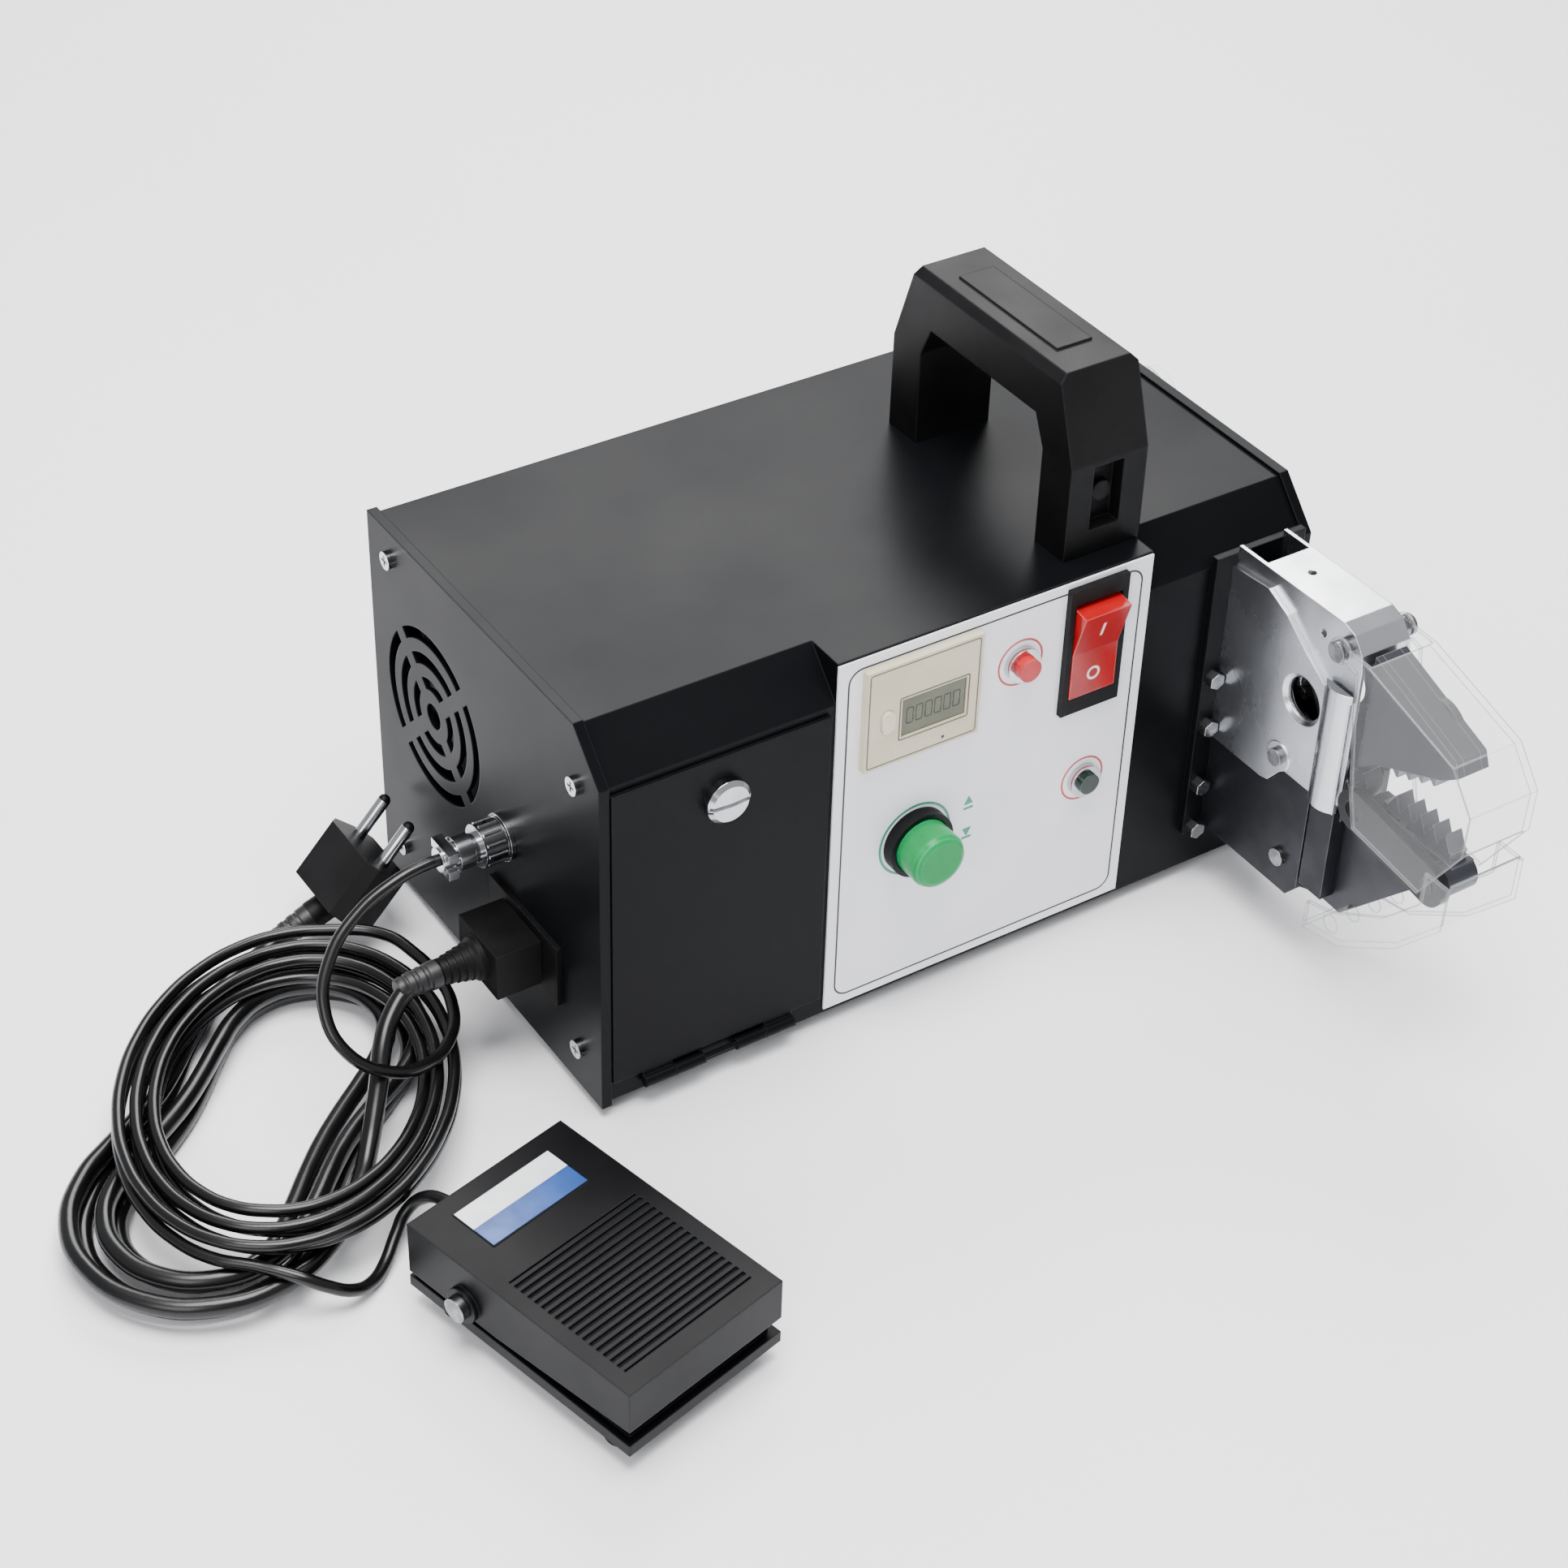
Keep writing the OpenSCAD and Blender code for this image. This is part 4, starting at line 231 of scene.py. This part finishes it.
def coat(material, *names):
    for name in names:
        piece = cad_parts[name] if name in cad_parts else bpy.data.objects[name]
        if not piece.material_slots:
            piece.data.materials.append(material)
        for place in piece.material_slots:
            place.material = material


cord_sheath = finish("extruded_pvc", "#060606", "#0b0b0c", 40, 3, 0.02, (0.2, 0.32), ior=1.5,
                      shader={"Specular IOR Level": 0.4})
coat(cord_sheath, "pedal_cord", "mains_cord", "pedal_cord_near", "pedal_coil", "pedal_cord_far",
     "mains_cord_near", "mains_hank", "mains_cord_far")


# Strain reliefs of the mains cord. Moulded PVC sleeves that taper from the connector's and the
# plug's boots on to the cord, with soft rings so that they bend evenly.
def loft_along(name, start, way, steps, sides=40):
    """A turned sleeve from (distance, radius) steps along a direction, both in millimetres."""
    mesh = bmesh.new()
    ring = bmesh.ops.create_circle(mesh, cap_ends=True, radius=steps[0][1] / 1000, segments=sides)
    edges = list({e for v in ring["verts"] for e in v.link_edges})
    last = steps[0]
    for far, wide in steps[1:]:
        grown = bmesh.ops.extrude_edge_only(mesh, edges=edges)
        verts = [g for g in grown["geom"] if isinstance(g, bmesh.types.BMVert)]
        edges = [g for g in grown["geom"] if isinstance(g, bmesh.types.BMEdge)]
        bmesh.ops.scale(mesh, vec=(wide / last[1], wide / last[1], 1), verts=verts)
        bmesh.ops.translate(mesh, vec=(0, 0, (far - last[0]) / 1000), verts=verts)
        last = (far, wide)
    bmesh.ops.contextual_create(mesh, geom=edges)
    bmesh.ops.recalc_face_normals(mesh, faces=mesh.faces)
    turn = Vector((0, 0, 1)).rotation_difference(Vector(way)).to_matrix().to_4x4()
    bmesh.ops.transform(mesh, matrix=Matrix.Translation(Vector(start) / 1000) @ turn,
                        verts=mesh.verts)
    return settle(name, mesh)


def settle(name, mesh, smooth=True):
    data = bpy.data.meshes.new(name)
    mesh.to_mesh(data)
    mesh.free()
    made = bpy.data.objects.new(name, data)
    bpy.context.scene.collection.objects.link(made)
    for face in data.polygons:
        face.use_smooth = smooth
    if smooth:
        made.data.set_sharp_from_angle(angle=math.radians(35))
    return made


sleeve_steps = [(-2, 5.2), (0, 5.2), (2, 5.1), (2.4, 4.7), (3.6, 4.7), (4, 5.0), (6, 4.8),
                (6.4, 4.4), (7.6, 4.4), (8, 4.7), (10, 4.5), (10.4, 4.15), (11.2, 4.1), (11.6, 4.3),
                (13, 4.1), (14, 3.75)]
moulded_pvc = finish("moulded_pvc", "#0b0b0c", "#131314", 25, 0.9, 0.03, (0.38, 0.5), ior=1.53)
for sleeve, start, way in (
        ("connector_sleeve", boot_tip, (-1, -0.03, -0.035)),
        ("plug_sleeve", plug_boot_tip, (-0.945, -0.02, -0.326))):
    made = loft_along(sleeve, start, way, sleeve_steps)
    coat(moulded_pvc, sleeve)
    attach(made, "case")

# Case shell, end caps, base tray and door. Folded mild steel sheet with a satin black powder
# coat: a fine orange peel, even and cool black, with a painted highlight along the folds, partly
# also wear.
powder_coat = finish("powder_coated_steel", "#08090b", "#0c0d0f", 60, 0.55, 0.016, (0.3, 0.38),
                     edge="#26272b", edge_mm=0.7, shader={"Specular IOR Level": 0.07})
coat(powder_coat, "case_cover", "left_end_cap", "right_end_cap", "base_tray", "access_door",
     "head_flange")

# Feet and the cable-side rubber. Moulded black nitrile rubber with a dull skin.
moulded_rubber = finish("moulded_rubber", "#0d0d0d", "#171717", 15, 0.4, 0.03, (0.62, 0.8))
coat(moulded_rubber, "case_feet", "pedal_feet")

# Screws, door lock, round socket, plug, nut and the mains plug's two pins. Turned brass and steel
# with bright nickel and chrome plate, mirror smooth but for fine marks of handling. The hex bolts
# are duller zinc.
chrome_plate = finish("chrome_plate", "#c9cacc", "#b4b6b9", 12, 0.6, 0.004, (0.08, 0.2),
                      metallic=1.0, edge="#f0f0f0", edge_mm=0.25)
coat(chrome_plate, "case_screws", "door_lock", "round_socket", "round_plug", "coupling_nut",
     "overload_bushing", "lamp_bezel")
pin_foot_x, pin_foot_z, pin_way = -169, 34, (0.682, 0, 0.7314)
pin_steps = [(0.2, 2.46), (16.6, 2.46), (17.6, 2.24), (18.4, 1.74), (18.9, 1.0), (19.06, 0.3)]
for pin, y in (("plug_pin_near", 46.5), ("plug_pin_far", 65.5)):
    made = loft_along(pin, (pin_foot_x, y, pin_foot_z), pin_way, pin_steps)
    coat(chrome_plate, pin)
    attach(made, "case")
bolt_steel = finish("plated_bolt_steel", "#8f9092", "#6c6d70", 5, 0.5, 0.01, (0.2, 0.34),
                    metallic=1.0, edge="#dedede", edge_mm=0.35)
coat(bolt_steel, "head_bolts", "pedal_bolt")

# Fan. Injection moulded glass-filled plastic, matt black; the blades are a little smoother.
moulded_plastic = finish("moulded_black_plastic", "#080809", "#0f0f10", 18, 0.35, 0.02,
                         (0.42, 0.55), edge="#242426", edge_mm=0.4,
                         shader={"Specular IOR Level": 0.16})
coat(moulded_plastic, "fan_housing", "inlet_socket", "mains_connector", "mains_plug")
coat(finish("fan_blade_plastic", "#18181a", "#202022", 18, 0.5, 0.01, (0.35, 0.45)), "fan_rotor")

# Carry handle. Nylon with a fine spark-eroded grain, its legs bolted down inside the recesses.
handle_nylon = finish("grained_nylon", "#070708", "#0c0c0d", 30, 0.5, 0.045, (0.42, 0.52),
                      edge="#1f1f22", edge_mm=1.0, shader={"Specular IOR Level": 0.16})
coat(handle_nylon, "carry_handle")

# Panel plate. Aluminium sheet with a white printed polyester film, faintly mottled.
panel_film = finish("printed_white_film", "#f4f4f8", "#eeeef3", 45, 0.8, 0.006, (0.3, 0.4),
                    ior=1.5, edge="#f6f6f8", edge_mm=0.3)
coat(panel_film, "label_plate")

# Printed lines on the panel. Screen ink two hundredths thick: a thin rounded border, a red ring
# round each small button, a green ring and two arrow marks at the push button.
face_y = -80.8
ink_thick = 0.06


def thicken(mesh, thick):
    grown = bmesh.ops.extrude_face_region(mesh, geom=list(mesh.faces))
    bmesh.ops.translate(mesh, vec=(0, 0, thick / 1000),
                        verts=[g for g in grown["geom"] if isinstance(g, bmesh.types.BMVert)])
    bmesh.ops.recalc_face_normals(mesh, faces=mesh.faces)


def flat_ring(inner, outer, segments):
    mesh = bmesh.new()
    ring = bmesh.ops.create_circle(mesh, radius=inner / 1000, segments=segments)
    edges = list({e for v in ring["verts"] for e in v.link_edges})
    grown = bmesh.ops.extrude_edge_only(mesh, edges=edges)
    bmesh.ops.scale(mesh, vec=(outer / inner, outer / inner, 1),
                    verts=[g for g in grown["geom"] if isinstance(g, bmesh.types.BMVert)])
    return mesh


def flat_band(name, middle, size, corner, width, y):
    """A rounded rectangle line lying on a front face at y, in millimetres."""
    mesh = bmesh.new()
    grid = bmesh.ops.create_grid(mesh, x_segments=1, y_segments=1, size=0.5)
    bmesh.ops.scale(mesh, vec=(size[0] / 1000, size[1] / 1000, 1), verts=mesh.verts)
    if corner:
        bmesh.ops.bevel(mesh, geom=list(mesh.verts), offset=corner / 1000, segments=8,
                        profile=0.5, affect="VERTICES", material=-1)
    if width:
        bmesh.ops.inset_region(mesh, faces=list(mesh.faces), thickness=width / 1000,
                               use_even_offset=True, use_boundary=True)
        inner = min(mesh.faces, key=lambda f: (f.calc_center_median().length, -f.calc_area()))
        bmesh.ops.delete(mesh, geom=[inner], context="FACES")
    return lay_on_front(name, mesh, middle, y, ink_thick)


def lay_on_front(name, mesh, middle, y, thick):
    """Gives flat ink its thickness and lays it on a face that looks to the front."""
    thicken(mesh, thick)
    stand = Matrix.Rotation(math.radians(90), 4, "X")
    place = Matrix.Translation((middle[0] / 1000, y / 1000, middle[1] / 1000))
    bmesh.ops.transform(mesh, matrix=place @ stand, verts=mesh.verts)
    return settle(name, mesh, smooth=False)


def ink_ring(name, middle, inner, outer, y):
    return lay_on_front(name, flat_ring(inner, outer, 72), middle, y, ink_thick)


black_ink = finish("black_screen_ink", "#1b1b1f", "#232327", 6, 0.3, 0.004, (0.35, 0.45))
red_ink = finish("red_screen_ink", "#c8464b", "#bd3b41", 6, 0.3, 0.004, (0.35, 0.45))
green_ink = finish("green_screen_ink", "#2f9a78", "#278d6c", 6, 0.3, 0.004, (0.35, 0.45))
panel_middle = (9.5, 84.5)
inked = {
    flat_band("panel_border_line", panel_middle, (125, 146), 6, 0.7, face_y): black_ink,
    ink_ring("overload_ring", (20, 135), 8.9, 9.7, face_y): red_ink,
    ink_ring("lamp_ring", (53.5, 70.5), 8.7, 9.5, face_y): red_ink,
    ink_ring("start_ring", (-21, 73), 14.4, 15.4, face_y): green_ink,
}
for name, z, flip in (("in_mark", 80.5, 1), ("out_mark", 67, -1)):
    mesh = bmesh.new()
    bmesh.ops.create_circle(mesh, cap_ends=True, radius=0.0023, segments=3)
    bmesh.ops.scale(mesh, vec=(1, 1.1 * flip, 1), verts=mesh.verts)
    inked[lay_on_front(name, mesh, (2, z), face_y, ink_thick)] = green_ink
    inked[flat_band(name + "_bar", (2, z - 3.0), (4.2, 1.0), 0, 0, face_y)] = green_ink
for piece, ink in inked.items():
    coat(ink, piece.name)
    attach(piece, "case")

# Counter. A beige ABS case with a recessed reset key, and a reflective display behind a hard
# olive window, its digits of dark segments.
beige_abs = finish("beige_abs", "#cfc6ac", "#c7bda1", 20, 0.4, 0.012, (0.36, 0.46),
                   edge="#ded6c0", edge_mm=0.5, ior=1.54)
coat(beige_abs, "counter_housing")
coat(finish("cream_abs", "#ded6bf", "#d6cdb4", 10, 0.4, 0.01, (0.34, 0.42), edge="#ece6d4",
            edge_mm=0.5), "counter_reset")
coat(finish("display_glass", "#5b5e47", "#52553f", 8, 0.5, 0.002, (0.08, 0.16), ior=1.5),
     "counter_window")
counter_face = face_y - 3
# Painted shade: darker beige lines round the counter's frame and round its window, standing in for
# the shaded edges there.
frame_shade_line = flat_band("counter_frame_shade_line", (-23, 135), (46, 40), 1.2, 0.5, counter_face)
window_shade_line = flat_band("counter_window_shade_line", (-18.5, 132), (29.4, 18.4), 1.0, 0.6, counter_face)
counter_dot = flat_band("counter_dot", (-14, 117.6), (1.3, 1.3), 0.6, 0, counter_face)
segment_ink = finish("display_segment", "#23251c", "#2b2d22", 5, 0.4, 0.001, (0.3, 0.4))
counter_edge_shade = finish("counter_painted_edge_shade", "#6d6754", "#625c4a", 6, 0.3, 0.004, (0.4, 0.5))
for piece, ink in ((frame_shade_line, counter_edge_shade), (window_shade_line, counter_edge_shade), (counter_dot, segment_ink)):
    coat(ink, piece.name)
    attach(piece, "case")
window_y = counter_face + 0.6
digits = bmesh.new()
digit_high, digit_wide, bar, digit_step = 6.4, 2.7, 0.42, 3.9
window_x, window_z = -18.5, 132
for i in range(6):
    x = window_x + (i - 2.5) * digit_step
    marks = [(x, window_z + s * digit_high / 2, digit_wide, bar) for s in (-1, 1)]
    marks += [(x + s * digit_wide / 2, window_z + t * digit_high / 4, bar, digit_high / 2.5)
              for s in (-1, 1) for t in (-1, 1)]
    for mx, mz, w, h in marks:
        cell = bmesh.ops.create_grid(digits, x_segments=1, y_segments=1, size=0.5)
        bmesh.ops.scale(digits, vec=(w / 1000, h / 1000, 1), verts=cell["verts"])
        bmesh.ops.translate(digits, vec=((mx - window_x) / 1000, (mz - window_z) / 1000, 0),
                            verts=cell["verts"])
counter_digits = lay_on_front("counter_digits", digits, (window_x, window_z), window_y, 0.05)
coat(segment_ink, "counter_digits")
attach(counter_digits, "case")

# Overload button, lamp button and push button. The overload button is red moulded nylon, the
# lamp a dark green lens, and the push button a bright green translucent cap with a faint painted
# glow.
coat(finish("red_nylon", "#c01820", "#ad141b", 6, 0.4, 0.004, (0.2, 0.3), edge="#e0474c",
            edge_mm=0.5), "overload_button")
coat(finish("dark_lens", "#10201a", "#172b23", 4, 0.4, 0.003, (0.1, 0.2), edge="#41564c",
            edge_mm=0.6, ior=1.49), "lamp_button")
# Painted glow: a faint green emission on the push button's cap, which is no lamp.
coat(finish("green_cap_plastic", "#00803f", "#007539", 10, 0.5, 0.004, (0.2, 0.3),
            edge="#3fe0a4", edge_mm=0.9, ior=1.49,
            shader={"Specular IOR Level": 0.2, "Emission Color": tint("#00b86a"),
                    "Emission Strength": 0.2}), "push_button")
coat(moulded_plastic, "button_bezel", "rocker_bezel")

# Rocker switch. A red polycarbonate paddle in a black frame, with a moulded white bar at the top
# and a white ring at the bottom.
rocker_red = finish("red_polycarbonate", "#a80c12", "#980a10", 8, 0.5, 0.003, (0.14, 0.22),
                    edge="#ea5a58", edge_mm=0.7, ior=1.58)
coat(rocker_red, "rocker_paddle")
white_mark = finish("white_marking", "#f0ece8", "#e4dfda", 4, 0.3, 0.004, (0.35, 0.45))
pivot = Vector((51.25, -78.6, 132))
tilt = Matrix.Rotation(math.radians(8), 4, "X")
paddle_half, paddle_rise, paddle_face, mark_share = 19, 2.8, 5, 0.55
lean = math.atan2(paddle_rise, paddle_half)
for name, up in (("rocker_bar_mark", 1), ("rocker_ring_mark", -1)):
    if up > 0:
        mesh = bmesh.new()
        bmesh.ops.create_grid(mesh, x_segments=1, y_segments=1, size=0.5)
        bmesh.ops.scale(mesh, vec=(0.0011, 0.0066, 1), verts=mesh.verts)
    else:
        mesh = flat_ring(1.9, 2.85, 40)
    made = lay_on_front(name, mesh, (0, 0), 0, ink_thick)
    local = Vector((0, -(paddle_face + paddle_rise * mark_share),
                    up * paddle_half * mark_share)) / 1000
    made.data.transform(Matrix.Translation(pivot / 1000) @ tilt @ Matrix.Translation(local)
                        @ Matrix.Rotation(up * lean, 4, "X"))
    coat(white_mark, name)
    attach(made, "rocker")

# Drive inside the case. A round cast motor with its gearbox, steel gears and shafts, and black
# oiled steel chassis plates.
coat(finish("painted_motor_can", "#3c3e42", "#33353a", 25, 0.8, 0.02, (0.35, 0.5), metallic=0.6,
            edge="#7a7c80", edge_mm=0.6), "drive_motor")
ground_steel = finish("ground_steel", "#a9abad", "#97999c", 10, 0.5, 0.008, (0.22, 0.34),
                      metallic=1.0, edge="#e4e4e4", edge_mm=0.3, stretch=(1, 1, 4))
coat(ground_steel, "drive_pinion", "camshaft", "ram", "jaw_pivot_pin")
coat(finish("turned_bronze", "#a77c45", "#93693a", 9, 0.4, 0.008, (0.25, 0.38), metallic=1.0,
            edge="#d9b583", edge_mm=0.3), "ram_bush")
oiled_steel = finish("black_oxide_steel", "#2b2c30", "#222327", 14, 0.4, 0.012, (0.32, 0.44),
                     metallic=0.75, edge="#7b7c80", edge_mm=0.35)
coat(oiled_steel, "chassis_plates", "head_frame")

# Crimp head. Zinc plated pressed steel sheets and a folded cover, phosphated dark grey jaws,
# black oxide locator arm, and clear polycarbonate guards whose cut edges carry a painted grey
# outline for the refraction there.
zinc_plate = finish("zinc_plated_steel", "#d6d8db", "#c8cbcf", 22, 0.7, 0.012, (0.22, 0.32),
                    metallic=1.0, edge="#f4f4f4", edge_mm=0.6, stretch=(1, 1, 0.5))
coat(zinc_plate, "side_plates", "head_cover")
coat(finish("phosphated_steel", "#33343a", "#2a2b30", 18, 0.35, 0.015, (0.36, 0.48),
            metallic=0.45, edge="#77787d", edge_mm=0.4), "jaw_plates", "lower_jaw", "upper_jaw")
coat(finish("hardened_die_steel", "#6f7076", "#5e5f65", 10, 0.3, 0.01, (0.25, 0.36),
            metallic=0.9, edge="#b9babd", edge_mm=0.25), "upper_die", "lower_die")
coat(finish("black_oxide_arm", "#121214", "#1a1a1c", 10, 0.4, 0.012, (0.28, 0.4), metallic=0.4,
            edge="#4a4a4d", edge_mm=0.5), "locator_arm")


def clear_sheet(name, edge_mm, seen):
    material = bpy.data.materials.new(name)
    material.use_nodes = True
    material.node_tree.nodes.clear()
    place = add(material, "ShaderNodeTexCoord")
    haze = add(material, "ShaderNodeTexNoise", {"Scale": 1000 / 14, "Detail": 2.0},
               {"Vector": place.outputs["Object"]})
    dull = add(material, "ShaderNodeMapRange", {1: 0.4, 2: 0.7, 3: 0.02, 4: 0.06},
               {0: haze.outputs[0]})
    rounded = add(material, "ShaderNodeBevel", {"samples": 4, "Radius": edge_mm / 1000})
    flat = add(material, "ShaderNodeNewGeometry")
    meet = add(material, "ShaderNodeVectorMath", {"operation": "DOT_PRODUCT"},
               {0: rounded.outputs[0], 1: flat.outputs["Normal"]})
    # Painted shade: along the cut edges the clear sheet turns grey and more opaque, standing in for
    # the refraction seen there.
    solid = add(material, "ShaderNodeMapRange", {1: 0.99, 2: 0.85, 3: seen, 4: 0.9},
                {0: meet.outputs["Value"]})
    cut = add(material, "ShaderNodeMapRange", {1: seen, 2: 0.9}, {0: solid.outputs[0]})
    painted_edge_outline = add(material, "ShaderNodeMix", {"data_type": "RGBA"}, {0: cut.outputs[0]})
    painted_edge_outline.inputs[6].default_value = tint("#f4f6f7")
    painted_edge_outline.inputs[7].default_value = tint("#7e8387")
    face = add(material, "ShaderNodeBsdfPrincipled", {"IOR": 1.58},
               {"Base Color": painted_edge_outline.outputs[2], "Roughness": dull.outputs[0],
                "Alpha": solid.outputs[0], "Normal": rounded.outputs[0]})
    add(material, "ShaderNodeOutputMaterial", None, {0: face.outputs[0]})
    return material


coat(clear_sheet("clear_polycarbonate", 1.2, 0.05), "upper_guard", "lower_guard", "side_dome")

# Foot pedal. Two pressed steel shells with a satin black coat, a ribbed tread, and a bare white
# and blue sticker where a maker would put a label.
pedal_coat = finish("satin_black_enamel", "#08080a", "#0d0d0f", 40, 0.5, 0.02, (0.34, 0.44),
                    edge="#28292c", edge_mm=0.7, shader={"Specular IOR Level": 0.12})
coat(pedal_coat, "pedal_base", "pedal_treadle")
sticker_white = finish("white_sticker", "#e6e7ea", "#dcdee2", 8, 0.4, 0.003, (0.28, 0.36))
sticker_blue = finish("blue_sticker", "#184a92", "#143f80", 8, 0.4, 0.003, (0.28, 0.36))
sticker_wide, sticker_thick, treadle_top = 41.5, 0.08, 36.4
pedal_place = (Matrix.Translation(Vector((-201.7, -164.8, 0)) / 1000)
               @ Matrix.Rotation(pedal_turn, 4, "Z"))
for name, material, y, deep in (("sticker_top", sticker_white, 38.8, 9.6),
                                ("sticker_bottom", sticker_blue, 29.2, 9.6)):
    mesh = bmesh.new()
    bmesh.ops.create_grid(mesh, x_segments=1, y_segments=1, size=0.5)
    bmesh.ops.scale(mesh, vec=(sticker_wide / 1000, deep / 1000, 1), verts=mesh.verts)
    thicken(mesh, sticker_thick)
    lift = pedal_place @ Matrix.Translation(Vector((0, y, treadle_top)) / 1000)
    bmesh.ops.transform(mesh, matrix=lift, verts=mesh.verts)
    made = settle(name, mesh, smooth=False)
    coat(material, name)
    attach(made, "treadle")

# Studio. A pale paper floor and a pale surrounding, a soft box high behind the case whose sheen
# lies on its top, a weaker one at the front left, and the strongest one straight above.
mesh = bmesh.new()
bmesh.ops.create_grid(mesh, x_segments=1, y_segments=1, size=6)
floor = settle("studio_floor", mesh, smooth=False)
coat(finish("pale_paper", "#fbfbfd", "#f8f8fb", 400, 6, 0.0, (0.6, 0.7)), "studio_floor")
world = bpy.data.worlds.new("studio_air")
bpy.context.scene.world = world
world.use_nodes = True
world.node_tree.nodes["Background"].inputs[0].default_value = tint("#f2f3f7")
world.node_tree.nodes["Background"].inputs[1].default_value = 0.65
for name, place, aim, size, power in (
        ("back_soft_box", (0.75, 1.15, 1.5), (0.0, 0.0, 0.1), 1.1, 44),
        ("front_soft_box", (-1.3, -0.9, 1.1), (0.0, -0.05, 0.05), 0.9, 13),
        ("top_soft_box", (-0.2, -0.2, 1.7), (0.0, 0.0, 0.0), 1.0, 58)):
    lamp = bpy.data.lights.new(name, "AREA")
    lamp.shape = "SQUARE"
    lamp.size = size
    lamp.energy = power
    stand = bpy.data.objects.new(name, lamp)
    bpy.context.scene.collection.objects.link(stand)
    look = (Vector(aim) - Vector(place)).to_track_quat("-Z", "Y").to_matrix().to_4x4()
    stand.matrix_world = Matrix.Translation(Vector(place)) @ look
